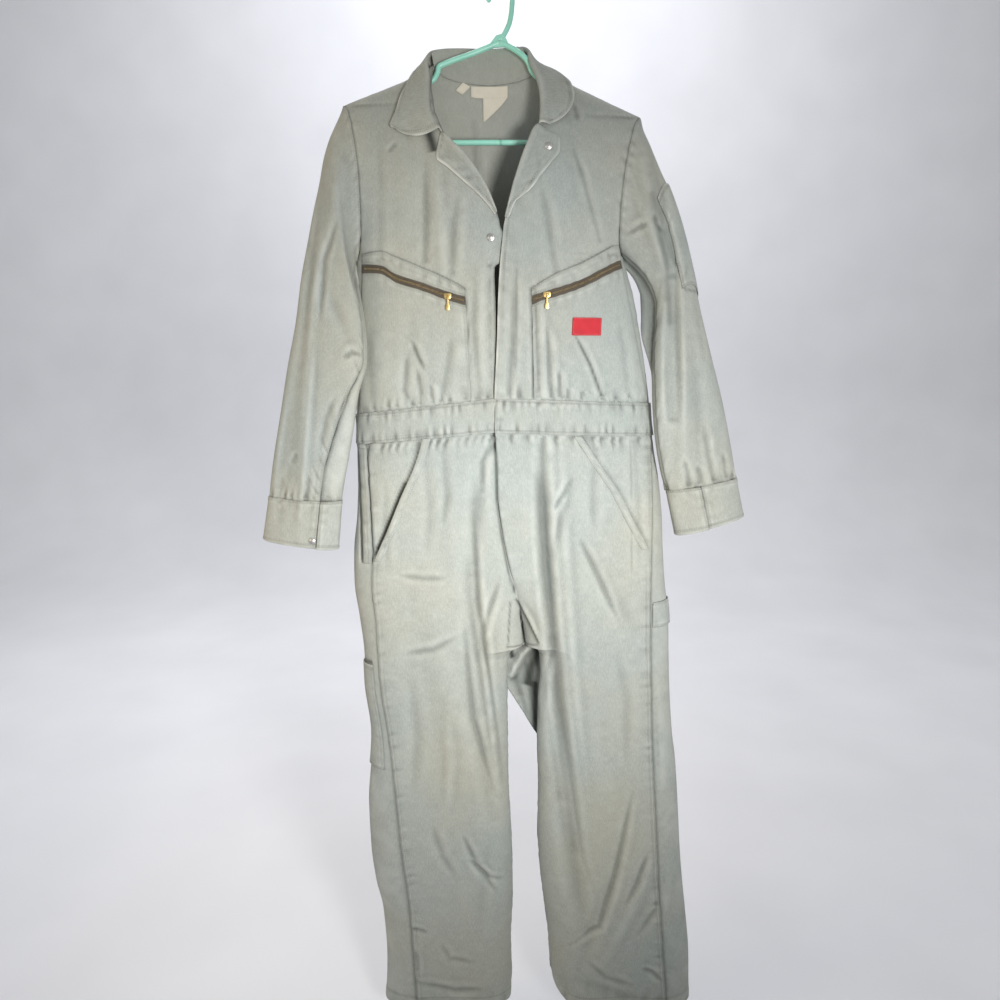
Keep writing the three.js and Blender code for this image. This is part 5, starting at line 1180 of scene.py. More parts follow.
def makeStitches():
    for group, runs in stitchRuns.items():
        vertices, faces = [], []
        for points, normals in runs:
            travelled = cumulative(points[None], 1)[0]
            pitch = stitch["length"] + stitch["gap"]
            starts = np.arange(0.6, travelled[-1] - stitch["length"], pitch)
            if not len(starts):
                continue
            at = lambda where, values: np.stack([np.interp(where, travelled, values[:, k]) for k in range(3)],
                -1)
            a, b = at(starts, points), at(starts + stitch["length"], points)
            out = at(starts + stitch["length"] / 2, normals)
            out /= np.linalg.norm(out, axis=-1, keepdims=True)
            along = (b - a) / np.maximum(np.linalg.norm(b - a, axis=-1, keepdims=True), 1e-9)
            side = np.cross(along, out)
            middle = (a + b) / 2 + out * stitch["lift"]
            radius = stitch["radius"]
            six = [a - out * 0.15, b - out * 0.15, middle + side * radius, middle + out * radius,
                middle - side * radius, middle - out * radius]
            base = len(vertices)
            block = np.stack(six, 1).reshape(-1, 3)
            vertices.extend(block.tolist())
            for i in range(len(starts)):
                n = base + 6 * i
                for p, q in ((2, 3), (3, 4), (4, 5), (5, 2)):
                    faces.append((n, n + p, n + q))
                    faces.append((n + 1, n + q, n + p))
        if faces:
            material = {"badge": redThread, "labels": creamThread}.get(group, sageThread)
            meshObject(f"stitches_{group}", vertices, faces, (material,), "suit",
                "patch" if group == "badge" else "label" if group == "labels" else "twill")
    print("stitched", {group: len(runs) for group, runs in stitchRuns.items()})


# Body panels.
for side, inner, outer in (("right", "end", "start"), ("left", "start", "end")):
    seams = {inner: "edge" if side == "left" else "plain", outer: "plain", "top": "soft",
        "bottom": "gathered"}
    clothPiece(f"front_{side}", frontSurface(side), seams, 3.0, group="body", zone="front")
clothPiece("back", backSurface, {"start": "plain", "end": "plain", "top": "plain", "bottom": "gathered"}, 4.4,
    group="body")
waistSeams = {"top": "band", "bottom": "band"}
waistPlace = dict(step=2.6, lift=0.9, wall=1.0, group="waist")
clothPiece("waistband_right", waistSurface("front", "right", waist["middle"]["x"] + 10, 0), waistSeams,
    restsOn=("front_right",), **waistPlace)
clothPiece("waistband_left", waistSurface("front", waist["middle"]["x"] + 1, "left", -1.6),
    {**waistSeams, "start": "single"}, restsOn=("front_left",), **waistPlace)
clothPiece("waistband_back", waistSurface("back", "left", "right"), waistSeams, restsOn=("back",),
    **waistPlace)
print("body made")

for side in ("right", "left"):
    near, far = ("start", "end") if side == "right" else ("end", "start")
    clothPiece(f"sleeve_{side}_upper", sleeveSurface(side, -111, 72, 0, cuffRow),
        {"top": "single", far: "felled" if side == "right" else "plain", "bottom": "gathered"}, 3.2,
        group="sleeves", restsOn=("front_" + side,), zone="sleeve")
    # the under sleeves take painted shade beside the body
    clothPiece(f"sleeve_{side}_under", sleeveSurface(side, 72, 249, 0, cuffRow),
        {"top": "plain", near: "plain", "bottom": "gathered"}, 4.4, group="sleeves", restsOn=("back",),
        zone="underarm")
    clothPiece(f"cuff_{side}", cuffSurface(side),
        {"top": "single", "bottom": "edge", "start": "single", "end": "single"}, 3.0, lift=0.3, wall=1.5,
        group="sleeves", restsOn=(f"sleeve_{side}_upper",))
print("sleeves made")

for side in ("right", "left"):
    near, far = ("start", "end") if side == "right" else ("end", "start")
    clothPiece(f"leg_{side}_front", legFrontSurface(side),
        {near: "felled", far: "plain", "top": "gathered", "bottom": "hem"}, 2.7, group="legs",
        restsOn=(f"waistband_{side}",), zone="legFront")
    clothPiece(f"leg_{side}_back", legBackSurface(side),
        {near: "plain", far: "plain", "top": "gathered", "bottom": "hem"}, 4.4, group="legs",
        restsOn=("waistband_back",), zone="legBack")
# Under the fork the seat's cloth hangs in a fold between the legs.
seat = {"top": -1006, "foot": -1205, "rise": 112, "tuck": 9, "back": 7, "sag": 15,
    "fold": [(66, -1016), (38, -1050), (20, -1086)]}


def seatSurface(u, v):
    u, v = np.broadcast_arrays(np.asarray(u, float), np.asarray(v, float))
    z = mix(seat["top"], seat["foot"] + seat["rise"] * (1 - u) ** 1.2, v)
    x = mix(innerLine("right", z) - seat["tuck"], innerLine("left", z) + seat["tuck"], u)
    gather = 3 * softNoise(x + 0.25 * z, z, 11, 70, 12)
    nearest, _, _ = nearLine(seat["fold"], x, z)
    gather = gather + 11 * np.exp(-(nearest / 7) ** 2)
    return place(x, seat["back"] + seat["sag"] * np.sin(math.pi * u) ** 0.8 - gather, z)


# the seat fold takes painted shade under the fork
clothPiece("seat_fold", seatSurface, {"bottom": "plain"}, 2.4, group="legs", restsOn=("leg_left_back",),
    node=False, zone="seat")
print("legs made")

# Collar and lapels.
collar = table("station foldX foldY foldZ outerX outerY outerZ sag", [
    [0, 60, -43, -205, 73, -41, -209, 0], [1, 61, -41, -193, 89, -37, -200, 0],
        [2, 62, -37, -178, 104, -31, -184, 0],
    [3, 62, -32, -163, 111, -22, -164, 0], [4, 60, -25, -145, 108, -14, -145, 0],
        [5, 54, -17, -124, 89, -5, -124, 0],
    [6, 46, -8, -104, 72, 5, -115, 0], [7, 44, 6, -87, 62, 16, -122, 0], [8, 32, 17, -79, 47, 28, -138, 0],
    [9, 9, 22, -80, 15, 35, -147, 0], [10, -20, 23, -81, -20, 37, -149, 0],
        [11, -52, 21, -81, -56, 35, -147, 0],
    [12, -85, 15, -83, -94, 28, -139, 0], [13, -107, 3, -92, -119, 13, -123, 0],
        [14, -111, -9, -108, -126, -6, -122, 0],
    [15, -108, -19, -131, -141, -18, -146, 0], [16, -108, -27, -155, -149, -24, -165, 0],
    [17, -106, -36, -180, -155, -30, -186, 0], [18, -97, -43, -201, -163, -35, -206, 6],
    [19, -88, -47, -215, -158, -37, -212, 11],
])
collarRoll = {"share": 0.14, "in": 3.6, "down": 6, "centre": (-22, 0)}


def collarSurface(u, v):
    u, v = np.broadcast_arrays(np.asarray(u, float), np.asarray(v, float))
    get = lambda name: read(collar, name, u * collar["last"])
    fold = place(get("foldX"), get("foldY"), get("foldZ"))
    outer = place(get("outerX"), get("outerY"), get("outerZ"))
    inward = place(collarRoll["centre"][0] - fold[..., 0], collarRoll["centre"][1] - fold[..., 1], 0)
    inward /= np.linalg.norm(inward, axis=-1, keepdims=True)
    behind = fold + inward * collarRoll["in"] - np.array([0, 0, collarRoll["down"]])
    crest = fold + inward * 1.2 + np.array([0, 0, 2.2])
    leaf = clamp((v - collarRoll["share"]) / (1 - collarRoll["share"]), 0, 1)[..., None]
    start = mix(fold, outer, 0.06)
    t = clamp(v / collarRoll["share"], 0, 1)[..., None]
    rolled = behind * (1 - t) ** 2 + crest * 2 * t * (1 - t) + start * t ** 2
    point = np.where(v[..., None] < collarRoll["share"], rolled, mix(start, outer, leaf))
    bulge = 4 * leaf[..., 0] * (1 - leaf[..., 0])
    away = -inward * (1.6 * bulge + 0.8 * bulge * softNoise(u * 700, v * 40, 42, 30, 5))[..., None]
    point = point + away
    point[..., 2] -= get("sag") * bulge
    return point


stand = table("station topX topY topZ neckX", [
    [0, 35, 10, -85.5, 50], [1, 32, 12, -84.5, 42], [2, 26, 15, -82, 26], [3, 6, 18.5, -82.5, 4],
        [4, -20, 19.5, -83.5, -19],
    [5, -48, 17.5, -83.5, -42], [6, -74, 13.5, -85, -66], [7, -93, 7, -89, -87], [8, -103.5, 0, -96, -100],
])


def standSurface(u, v):
    u, v = np.broadcast_arrays(np.asarray(u, float), np.asarray(v, float))
    get = lambda name: read(stand, name, u * stand["last"])
    top = place(get("topX"), get("topY"), get("topZ"))
    return mix(top, onBody("back", get("neckX"), backTop(get("neckX")) + 0.6), v[..., None])


lapels = {
    "right": table("row foldX foldZ outerX outerZ", [
        [0, -86.5, -220, -88.5, -221.5], [1, -79, -226, -90.5, -234], [2, -70, -235, -94, -250],
            [3, -62, -242, -93.5, -258],
        [4, -52, -252, -78, -270], [5, -42, -266, -56, -289], [6, -30, -283, -35, -307],
            [7, -18, -305, -22, -320],
        [8, -6, -334, -8, -338],
    ]),
    "left": table("row foldX foldZ outerX outerZ", [
        [0, 57, -208, 69, -214], [1, 50, -216, 89, -228], [2, 44, -230, 88, -246], [3, 36, -250, 76, -263],
        [4, 28, -273, 61, -281], [5, 21, -295, 44, -303], [6, 15, -318, 24, -319], [7, 9, -342, 12, -343],
    ]),
}
lapelForm = {"lift": 2.6, "roll": 3.4, "turn": 0.16}


def lapelSurface(side):
    rows = lapels[side]

    def surface(u, v):
        u, v = np.broadcast_arrays(np.asarray(u, float), np.asarray(v, float))
        get = lambda name: read(rows, name, v * rows["last"])
        whole = u if side == "right" else 1 - u
        share = clamp(whole / (1 - lapelForm["turn"]), 0, 1)
        turn = clamp((whole - 1 + lapelForm["turn"]) / lapelForm["turn"], 0, 1)
        point = onBody("front", mix(get("outerX"), get("foldX"), share),
            mix(get("outerZ"), get("foldZ"), share))
        up = lapelForm["lift"] + lapelForm["roll"] * share ** 3
        point[..., 1] -= up * (1 - turn ** 1.5) - 0.2 * turn
        point[..., 0] += (1 if side == "right" else -1) * 2.4 * np.sin(math.pi * clamp(turn, 0, 1)) ** 0.8
        return point

    return surface


clothPiece("collar_leaf", collarSurface, {"bottom": "edge", "start": "edge", "end": "edge"}, 3.2, wall=1.8,
    group="collar", restsOn=("collar_stand",))
clothPiece("collar_stand", standSurface, {"bottom": "single"}, 3.2, wall=1.8, group="collar",
    restsOn=("back",))
for side in ("right", "left"):
    clothPiece(f"lapel_{side}", lapelSurface(side),
        {"start" if side == "right" else "end": "edge", "top": "plain"}, 3.0, wall=1.8, group="collar",
        restsOn=(f"front_{side}",))
print("collar made")

# Chest pockets with their zips.
chests = {
    "right": table("row x band zip footX", [
        [0, -211, -391, -412.5, -225], [1, -196, -390, -413.5, -203], [2, -180, -389, -416, -181],
            [3, -158, -398, -429, -156],
        [4, -121, -413, -441, -117], [5, -91, -426, -452, -86], [6, -62, -440, -461, -55],
            [7, -53, -444.5, -463, -45],
    ]),
    "left": table("row x band zip footX", [
        [0, 48, -445, -462, 53], [1, 61, -436, -457, 66], [2, 91, -420, -448, 100], [3, 121, -408, -437, 138],
        [4, 151, -392, -421, 180], [5, 172, -380, -409, 220], [6, 181, -377, -405, 237],
    ]),
}
zipForm = {"half": 6, "open": 4.2, "pitch": 1.9}
zipPlaces = {"right": (-79, -456.5), "left": (71, -454)}


def chestSurface(side, upper, lower):
    rows = chests[side]

    def surface(u, v):
        u, v = np.broadcast_arrays(np.asarray(u, float), np.asarray(v, float))
        get = lambda name: read(rows, name, u * rows["last"])
        band, zipZ, footX = get("band"), get("zip"), get("footX")
        foot = waistZ("top", footX) + 1.5
        heights = {"band": band, "zipTop": zipZ + zipForm["half"], "zipFoot": zipZ - zipForm["half"],
            "foot": foot, "zip": zipZ}
        z = mix(heights[upper], heights[lower], v)
        return onBody("front", mix(get("x"), footX, (band - z) / (band - foot)), z)

    return surface


def boxes(centres, rights, ups, outs, size):
    vertices, faces = [], []
    half = np.array(size) / 2
    for centre, right, up, out in zip(centres, rights, ups, outs):
        n = len(vertices)
        for depth in (-1, 1):
            taper = 0.75 if depth > 0 else 1
            for i, j in ((-1, -1), (1, -1), (1, 1), (-1, 1)):
                vertices.append(centre + right * i * half[0] * taper + up * j * half[1] * taper + out * depth * half[2])
        faces += [tuple(n + k for k in face) for face in ((3, 2, 1, 0), (4, 5, 6, 7), (0, 1, 5, 4),
            (1, 2, 6, 5), (2, 3, 7, 6), (3, 0, 4, 7))]
    return vertices, faces


def zipTeeth(side):
    surface = chestSurface(side, "zip", "zip")
    u = np.linspace(0.015, 0.985, 400)
    line = surface(u, np.zeros(1))
    travelled = cumulative(line[None], 1)[0]
    stops = np.arange(2, travelled[-1] - 2, zipForm["pitch"] / 2)
    at = lambda where: np.stack([np.interp(where, travelled, line[:, k]) for k in range(3)], -1)
    along = at(stops + 0.5) - at(stops - 0.5)
    along /= np.linalg.norm(along, axis=-1, keepdims=True)
    out = np.tile(np.array([0.0, -1.0, 0.0]), (len(stops), 1))
    up = np.cross(out, along)
    hand = np.where(np.arange(len(stops)) % 2, 1, -1)[:, None]
    centres = at(stops) + out * 2.3 + up * hand * 0.75
    return meshObject(f"zip_teeth_{side}", *boxes(centres, along, up, out, (1.1, 2.1, 1.0)), (oldBrass,),
        "suit", "zip_metal")


def sculpt(name, build, bevel, body, node, material, slot, at):
    shape = bmesh.new()
    build(shape)
    bmesh.ops.recalc_face_normals(shape, faces=shape.faces)
    sharp = [edge for edge in shape.edges if len(edge.link_faces) == 2 and edge.calc_face_angle(0) > 0.6]
    bmesh.ops.bevel(shape, geom=sharp, offset=bevel, segments=2, affect="EDGES", profile=0.6)
    shape.verts.ensure_lookup_table()
    shape.verts.index_update()
    vertices = [np.array(vertex.co) + np.array(at) for vertex in shape.verts]
    faces = [[vertex.index for vertex in face.verts] for face in shape.faces]
    shape.free()
    return meshObject(name, vertices, faces, (material,), body, slot, (node,) if node else ())


def prism(shape, outline, near, far):  # an outline in x and z, between two depths in y
    front = [shape.verts.new((x, near, z)) for x, z in outline]
    back = [shape.verts.new((x, far, z)) for x, z in outline]
    shape.faces.new(front)
    shape.faces.new(back[::-1])
    for i in range(len(outline)):
        j = (i + 1) % len(outline)
        shape.faces.new((front[j], front[i], back[i], back[j]))


slider = {"width": 11, "height": 8.6, "thick": 1.4, "pinOut": 2, "lift": 2.9, "lugX": 2.75, "lugWide": 0.9}
pull = {"eye": 1.6, "hole": 0.8, "stem": 12, "foot": 8, "stemWide": 3, "footWide": 6.4, "thick": 1.1}


def sliderShape(shape):
    half, tall = slider["width"] / 2, slider["height"] / 2
    outline = [(-half, -tall * 0.35), (-half * 0.62, -tall), (half * 0.62, -tall), (half, -tall * 0.35),
        (half, tall * 0.6), (half * 0.8, tall), (-half * 0.8, tall), (-half, tall * 0.6)]
    prism(shape, outline, slider["pinOut"], slider["pinOut"] + slider["thick"])
    for sign in (-1, 1):
        x = sign * slider["lugX"]
        prism(shape, [(x - slider["lugWide"] / 2, -1.4), (x + slider["lugWide"] / 2, -1.4),
            (x + slider["lugWide"] / 2, 1.4), (x - slider["lugWide"] / 2, 1.4)], -0.7, slider["pinOut"])


def pullShape(shape):
    narrow, wide, stem, end = pull["stemWide"] / 2, pull["footWide"] / 2, -1.3 - pull["stem"], -1.3 - pull["stem"] - pull["foot"]
    outline = [(-narrow, -1.2), (-narrow * 0.9, -6), (-narrow, stem + 1.5), (-wide, stem - 0.8),
        (-wide * 1.0, end + 1.6), (-wide * 0.6, end), (wide * 0.6, end), (wide, end + 1.6),
        (wide, stem - 0.8), (narrow, stem + 1.5), (narrow * 0.9, -6), (narrow, -1.2)]
    prism(shape, outline, -pull["thick"] / 2, pull["thick"] / 2)
    turns = [2 * math.pi * i / 14 for i in range(14)]
    rings = []
    for x, radius in ((-1.9, pull["hole"]), (-1.9, pull["eye"]), (1.9, pull["eye"]), (1.9, pull["hole"])):
        rings.append([shape.verts.new((x, radius * math.sin(a), radius * math.cos(a))) for a in turns])
    for near, far in zip(rings, rings[1:] + rings[:1]):
        for i in range(len(turns)):
            j = (i + 1) % len(turns)
            shape.faces.new((near[i], near[j], far[j], far[i]))


for side in ("right", "left"):
    inner, outer = ("end", "start") if side == "right" else ("start", "end")
    sewn = dict(wall=1.0, group="pockets", restsOn=(f"front_{side}",), step=3.4)
    clothPiece(f"pocket_band_{side}", chestSurface(side, "band", "zipTop"),
        {"top": "single", "bottom": "single", inner: "single"}, lift=1.9, pressed=0.5, **sewn)
    # the chest pocket takes painted shade along its crease
    clothPiece(f"chest_pocket_{side}", chestSurface(side, "zipFoot", "foot"),
        {"top": "single", inner: "single", "bottom": "gathered"}, lift=1.6, pressed=0.5, zone="chest", **sewn)
    clothPiece(f"zip_tape_{side}", chestSurface(side, "zipTop", "zipFoot"), {}, wall=0.8, lift=1.3, step=2.6,
        finish=(tapeCloth, tapeCloth), slot="zip_tape", restsOn=(f"front_{side}",))
    zipTeeth(side)
    x, z = zipPlaces[side]
    plain = {"right": -57.538, "left": -56.507}[side]
    sculpt(f"zip_slider_{side}", sliderShape, 0.25, "suit", f"zip_slider_{side}", brass, "zip_metal",
        (x, plain, z))
    sculpt(f"zip_pull_{side}", pullShape, 0.22, f"pull_{side}", f"zip_pull_{side}", brass, "zip_metal",
        (x, plain, z))
print("chest pockets made")

# Hip pockets, and what is sewn on the sleeves and legs.
mouthWidth = 12


def mouthSurface(side):
    rows = mouths[side]
    start, end = (0, mouthWidth) if side == "right" else (-mouthWidth, 0)

    def surface(u, v):
        u, v = np.broadcast_arrays(np.asarray(u, float), np.asarray(v, float))
        row = v * rows["last"]
        return onLeg("front", read(rows, "x", row) + mix(start, end, u), read(rows, "z", row))

    return surface


def cornerSurface(onPoint, topStart, topEnd, footStart, footEnd):
    def surface(u, v):
        u, v = np.broadcast_arrays(np.asarray(u, float), np.asarray(v, float))
        ends = [mix(mix(topStart[i], topEnd[i], u), mix(footStart[i], footEnd[i], u), v) for i in (0, 1)]
        return onPoint(*ends)

    return surface


sewnSmall = dict(wall=1.0, step=3.2, pressed=0.4)
for side in ("right", "left"):
    clothPiece(f"hip_pocket_{side}", mouthSurface(side), {"start": "turned", "end": "turned"}, lift=1.3,
        group="legs", restsOn=(f"leg_{side}_front",), **sewnSmall)
clothPiece("sleeve_pocket_left", cornerSurface(lambda a, row: sleevePoint("left", a, row), (-24, 3.6),
    (-100, 5.2), (-24, 7.7), (-100, 8.8)),
           {"start": "single", "end": "plain", "bottom": "single", "top": "edge"}, lift=2.4, group="sleeves",
           restsOn=("sleeve_left_upper",), **sewnSmall)
clothPiece("tool_pocket_right", lambda u, v: legWrap("right", mix(0.62, 2.8, np.asarray(u)),
    mix(9.1, 13.5, np.asarray(v))),
           {"start": "single", "end": "single", "bottom": "single", "top": "edge"}, lift=2.6, group="legs",
           restsOn=("leg_right_back",), **sewnSmall)
clothPiece("hammer_loop_left", lambda u, v: legWrap("left", mix(2.95, 1.3, np.asarray(u)),
    mix(5.75, 6.85, np.asarray(v))),
           {"top": "single", "bottom": "single"}, lift=2.6, group="legs", restsOn=("leg_left_back",),
           **sewnSmall)


def ventSurface(u, v):
    u, v = np.broadcast_arrays(np.asarray(u, float), np.asarray(v, float))
    z = mix(vent["top"], vent["foot"], v)
    x = read(legOutlines["right"], "seam", z) - mix(vent["wide"], vent["near"], u)
    return place(x, legY("front", x, z), z)


clothPiece("side_vent_right", ventSurface, {"start": "plain", "end": "single"}, lift=1.8, group="legs",
    restsOn=("leg_right_back",), **sewnSmall)

# Badge and labels stay plain; the badge has a stitched border.
front = lambda x, z: onBody("front", x, z)
badge = {"top": ((111, -488), (155, -488)), "foot": ((110, -514), (154, -514)), "lift": 3.4, "wall": 1.0}
clothPiece("chest_patch", cornerSurface(front, *badge["top"], *badge["foot"]), {}, 2.0, lift=badge["lift"],
    wall=badge["wall"], finish=(badgeCloth, badgeCloth), slot="patch", restsOn=("chest_pocket_left",))
for inset in (0.9, 1.5):
    corners = [(111 + inset, -488 - inset), (155 - inset, -488 - inset), (154 - inset, -514 + inset),
        (110 + inset, -514 + inset), (111 + inset, -488 - inset)]
    runOn("badge", front, corners, badge["lift"] + 0.1)


labelRows = table("row start end z", [[0, -45, 12, -133.5], [1, -45, 12, -148], [1.06, -26.5, 11.5, -149],
    [3, -26, -24, -182]])


def labelSurface(u, v):
    u, v = np.broadcast_arrays(np.asarray(u, float), np.asarray(v, float))
    get = lambda name: read(labelRows, name, v * 3)
    return onBody("back", mix(get("end"), get("start"), u), get("z"))


insideBack = dict(lift=-2.5, wall=0.5, step=3, finish=(labelCloth, labelCloth), slot="label",
    restsOn=("back",))
clothPiece("neck_label", labelSurface, {}, **insideBack)
clothPiece("size_label", cornerSurface(lambda x, z: onBody("back", x, z), (-46.7, -134.3), (-57.6, -129.2),
    (-58.8, -145.6), (-68.7, -140.3)), {}, **insideBack)

# Lines of stitching away from the edges.
flyLine = [(21, -403), (23, -536), (26, -606)]
flyLegLine = [(30, -674), (35, -769), (42, -867), (45, -917), (36, -940), (22, -946)]
runOn("lines", front, flyLine, 0.1)
onLegFront = lambda x, z: onLeg("front", x, z)
runOn("lines", onLegFront, flyLegLine, 0.1)
runOn("lines", onLegFront, [(210, -672), (214, -802), (214, -894), (240, -898)], 0.1)
runOn("lines", onLegFront, [(-133, -674), (-146, -716), (-171, -772), (-187, -812), (-203, -850)], 0.1)
makeStitches()


# Snaps: domed caps turned round their own axis, which runs front to back.
snap = {"profile": [(0, -1.9), (2.2, -1.75), (3.4, -1.3), (3.9, -0.75), (4.6, -0.95), (5.2, -0.6), (5.5, 0.1),
    (5.3, 0.8), (0, 0.8)], "turns": 32}


def makeSnap(name, x, y, z):
    vertices, faces = [], []
    count, rings = snap["turns"], snap["profile"]
    for radius, depth in rings:
        for i in range(count):
            angle = 2 * math.pi * i / count
            vertices.append((x + max(radius, 0.01) * math.cos(angle), y + depth,
                z + max(radius, 0.01) * math.sin(angle)))
    for ring in range(len(rings) - 1):
        for i in range(count):
            j = (i + 1) % count
            faces.append((ring * count + i, ring * count + j, (ring + 1) * count + j, (ring + 1) * count + i))
    faces.append(tuple(range(count))[::-1])
    faces.append(tuple((len(rings) - 1) * count + i for i in range(count)))
    return meshObject(name, vertices, faces, (steel,), "suit", "snap_metal", (name,))


makeSnap("snap_lapel", 72, -48.2, -241)
makeSnap("snap_front", -13.5, -53.6, -371)
makeSnap("snap_cuff", -300.4, -48.8, -836.3)

# The hanger: a hook, two arms that step down beside the neck, and a bar.
hangerForm = {"tube": 4, "hook": 3.5, "inner": 15, "turn": (0, 205), "seam": 0.25}
hangerArms = {
    "right": [(0, -81), (-40, -96), (-84, -111), (-92, -115), (-95, -124), (-101, -133), (-114, -139),
        (-150, -146), (-196, -162.5),
              (-205, -168), (-209, -178), (-205, -198), (-192, -214), (-170, -221.5), (-140, -222.5),
              (0, -222.5)],
    "left": [(0, -81), (22, -91), (37, -102), (44, -111), (48, -121), (56, -129), (72, -134), (114, -151),
        (150, -167.5),
             (188, -185), (196, -190), (199, -199), (193, -211), (180, -219), (160, -222.5), (0, -222.5)],
}


def sweepFlat(route, radius, pitch=2.5, facets=24):  # a tube in the hanger's plane, with a fine mould seam
    route = np.array(route, float)
    knots = np.concatenate([[0], np.cumsum(np.sqrt(np.linalg.norm(np.diff(route, axis=0), axis=1)))])
    t = np.linspace(0, knots[-1], max(12, int(np.linalg.norm(np.diff(route, axis=0), axis=1).sum() / pitch)))
    ends = np.vstack([2 * route[0] - route[1], route, 2 * route[-1] - route[-2]])
    slope = lambda k: (ends[k + 2] - ends[k]) / 2
    i = np.clip(np.searchsorted(knots, t, side="right") - 1, 0, len(route) - 2)
    s = ((t - knots[i]) / (knots[i + 1] - knots[i]))[:, None]
    before = (knots[i] - knots[np.maximum(i - 1, 0)])[:, None]
    span = (knots[i + 1] - knots[i])[:, None]
    after = (knots[np.minimum(i + 2, len(knots) - 1)] - knots[i + 1])[:, None]
    before, after = np.where(before == 0, span, before), np.where(after == 0, span, after)
    p0, p1, p2, p3 = ends[i], ends[i + 1], ends[i + 2], ends[i + 3]
    m1 = ((p1 - p0) / before - (p2 - p0) / (before + span) + (p2 - p1) / span) * span
    m2 = ((p2 - p1) / span - (p3 - p1) / (span + after) + (p3 - p2) / after) * span
    line = (2 * s ** 3 - 3 * s ** 2 + 1) * p1 + (s ** 3 - 2 * s ** 2 + s) * m1 + (3 * s ** 2 - 2 * s ** 3) * p2 + (s ** 3 - s ** 2) * m2
    along = np.gradient(line, axis=0)
    along /= np.linalg.norm(along, axis=1, keepdims=True)
    normal = np.stack([-along[:, 1], along[:, 0]], 1)
    vertices = []
    for (x, z), (nx, nz) in zip(line, normal):
        for k in range(facets):
            angle = 2 * math.pi * k / facets
            ridge = radius + (hangerForm["seam"] if k in (0, facets // 2) else 0)
            vertices.append((x + nx * ridge * math.cos(angle), radius * math.sin(angle),
                z + nz * ridge * math.cos(angle)))
    faces = []
    for i in range(len(line) - 1):
        for k in range(facets):
            j = (k + 1) % facets
            faces.append((i * facets + k, i * facets + j, (i + 1) * facets + j, (i + 1) * facets + k))
    faces.append(tuple(range(facets))[::-1])
    faces.append(tuple((len(line) - 1) * facets + k for k in range(facets)))
    return vertices, faces


def makeHanger():
    centre = hangerForm["inner"] + hangerForm["hook"]
    turns = [math.radians(mix(*hangerForm["turn"], i / 14)) for i in range(15)]
    bend = [(centre * math.cos(a), centre * math.sin(a) - hangerForm["inner"]) for a in turns]
    stem = [(0, -80), (8, -67), (13.5, -56), (16.5, -43), (18, -28)]
    parts = [sweepFlat(route, hangerForm["tube"]) for route in hangerArms.values()]
    parts.append(sweepFlat(stem + bend, hangerForm["hook"]))
    tipX, tipZ = bend[-1]
    vertices, faces = [], []
    for points, polygons in parts:
        base = len(vertices)
        vertices += points
        faces += [tuple(base + k for k in polygon) for polygon in polygons]
    # the rounded end of the hook
    base, rings = len(vertices), 7
    for i in range(rings):
        lift = math.pi / 2 * i / (rings - 1)
        for k in range(24):
            angle = 2 * math.pi * k / 24
            radius = hangerForm["hook"] * max(math.cos(lift), 0.02)
            end = turns[-1]
            alongX, alongZ = -math.sin(end), math.cos(end)
            vertices.append((tipX + math.cos(end) * radius * math.cos(angle) + alongX * hangerForm["hook"] * math.sin(lift), radius * math.sin(angle),
                             tipZ + math.sin(end) * radius * math.cos(angle) + alongZ * hangerForm["hook"] * math.sin(lift)))
    for i in range(rings - 1):
        for k in range(24):
            j = (k + 1) % 24
            faces.append((base + i * 24 + k, base + i * 24 + j, base + (i + 1) * 24 + j,
                base + (i + 1) * 24 + k))
    thing = meshObject("hanger", vertices, faces, (mint,), "suit", "hanger_plastic", ("hanger",))

    def web(shape):
        prism(shape, [(-20, -89), (15, -87), (5, -69), (-6, -72)], -2.5, 2.5)

    sculpt("hanger_gusset", web, 1.1, "suit", None, mint, "hanger_plastic", (0, 0, 0))
    return thing


makeHanger()
print("hanger made")

# Floor, lights and camera.
setting = {"floorZ": -1.76, "wallY": 3.6, "half": 8.0, "bend": 1.2, "top": 4.0}


def makeBackdrop():
    profile = [(-setting["half"], setting["floorZ"])]
    for i in range(13):
        angle = math.pi / 2 * i / 12
        profile.append((setting["wallY"] - setting["bend"] + setting["bend"] * math.sin(angle),
            setting["floorZ"] + setting["bend"] * (1 - math.cos(angle))))
    profile.append((setting["wallY"], setting["top"]))
    vertices = [(x, y, z) for x in (-setting["half"], setting["half"]) for y, z in profile]
    count = len(profile)
    faces = [(i, i + count, i + 1 + count, i + 1) for i in range(count - 1)]
    mesh = bpy.data.meshes.new("studio_floor")
    mesh.from_pydata(vertices, [], faces)
    mesh.polygons.foreach_set("use_smooth", np.ones(len(faces), bool))
    material, shader = newMaterial("pale floor", (0.80, 0.80, 0.82), 0.85)
    grain = addNode(material, "ShaderNodeTexNoise", {"Scale": 3, "Detail": 2})
    join(material, addNode(material, "ShaderNodeTexCoord").outputs["Object"], grain.inputs["Vector"])
    join(material, ramp(material, grain.outputs["Fac"],
        [(0.3, (0.78, 0.78, 0.80)), (0.7, (0.82, 0.82, 0.84))]), shader.inputs["Base Color"])
    mesh.materials.append(material)
    floor = bpy.data.objects.new("studio_floor", mesh)
    bpy.context.scene.collection.objects.link(floor)


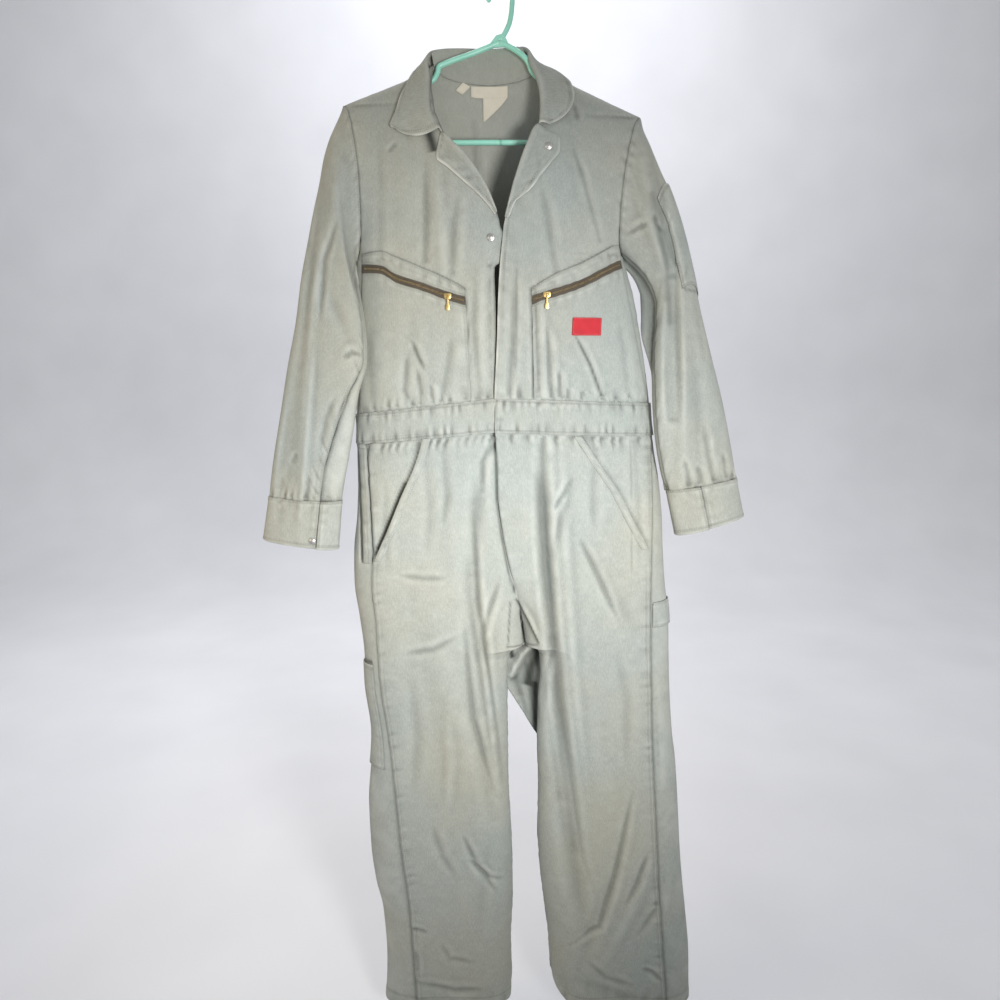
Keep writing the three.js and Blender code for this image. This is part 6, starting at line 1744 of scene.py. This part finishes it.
lights = {
    "key": {"at": (0.5, -1.4, -0.7), "aim": (-0.08, 0, -0.82), "size": 0.34, "spread": 68, "power": 5.2,
        "color": (1.0, 0.99, 0.975)},
    "fill": {"at": (-1.7, -1.9, -0.3), "aim": (0, 0, -0.8), "size": 1.6, "spread": 180, "power": 2.5,
        "color": (0.95, 0.97, 1.0)},
    "warm": {"at": (-1.5, -0.45, -0.45), "aim": (-0.3, 0, -0.6), "size": 0.8, "spread": 120, "power": 3,
        "color": (1.0, 0.74, 0.42)},
    "back": {"at": (-1.2, 2.4, 0.4), "aim": (0, 0, -0.8), "size": 1.6, "spread": 180, "power": 14,
        "color": (1.0, 0.99, 0.97)},
    "wall": {"at": (0.0, 1.4, 2.2), "aim": (0, 3.6, -0.6), "size": 2.4, "spread": 180, "power": 76,
        "color": (0.94, 0.95, 1.0)},
}


def makeLights():
    for name, light in lights.items():
        lamp = bpy.data.lights.new(name, "AREA")
        lamp.shape, lamp.size, lamp.energy, lamp.color = "DISK", light["size"], light["power"], light["color"]
        lamp.spread = math.radians(light["spread"])
        thing = bpy.data.objects.new(name, lamp)
        thing.location = light["at"]
        thing.rotation_euler = (Vector(light["aim"]) - Vector(light["at"])).to_track_quat("-Z",
            "Y").to_euler()
        bpy.context.scene.collection.objects.link(thing)
    world = bpy.data.worlds.new("studio")
    world.use_nodes = True
    world.node_tree.nodes["Background"].inputs["Color"].default_value = (0.92, 0.94, 0.95, 1)
    world.node_tree.nodes["Background"].inputs["Strength"].default_value = 0.42
    bpy.context.scene.world = world
    bpy.context.scene.view_settings.view_transform = "Standard"


view = {"at": (0, -1.230, -0.576), "down": 9.3, "focal": 27.18}


def makeCamera():
    camera = bpy.data.cameras.new("camera")
    camera.lens, camera.sensor_width, camera.clip_start = view["focal"], 36, 0.02
    thing = bpy.data.objects.new("camera", camera)
    thing.location = view["at"]
    thing.rotation_euler = (math.radians(90 - view["down"]), 0, 0)
    bpy.context.scene.collection.objects.link(thing)
    bpy.context.scene.camera = thing


makeBackdrop()
makeLights()
makeCamera()
print("studio made")

sizes = {thing.name: sum(len(polygon.vertices) - 2 for polygon in thing.data.polygons)
         for thing in bpy.context.scene.objects if thing.type == "MESH" and thing.visible_get()}
print("triangles", sum(sizes.values()), "the most in", max(sizes, key=sizes.get), max(sizes.values()))
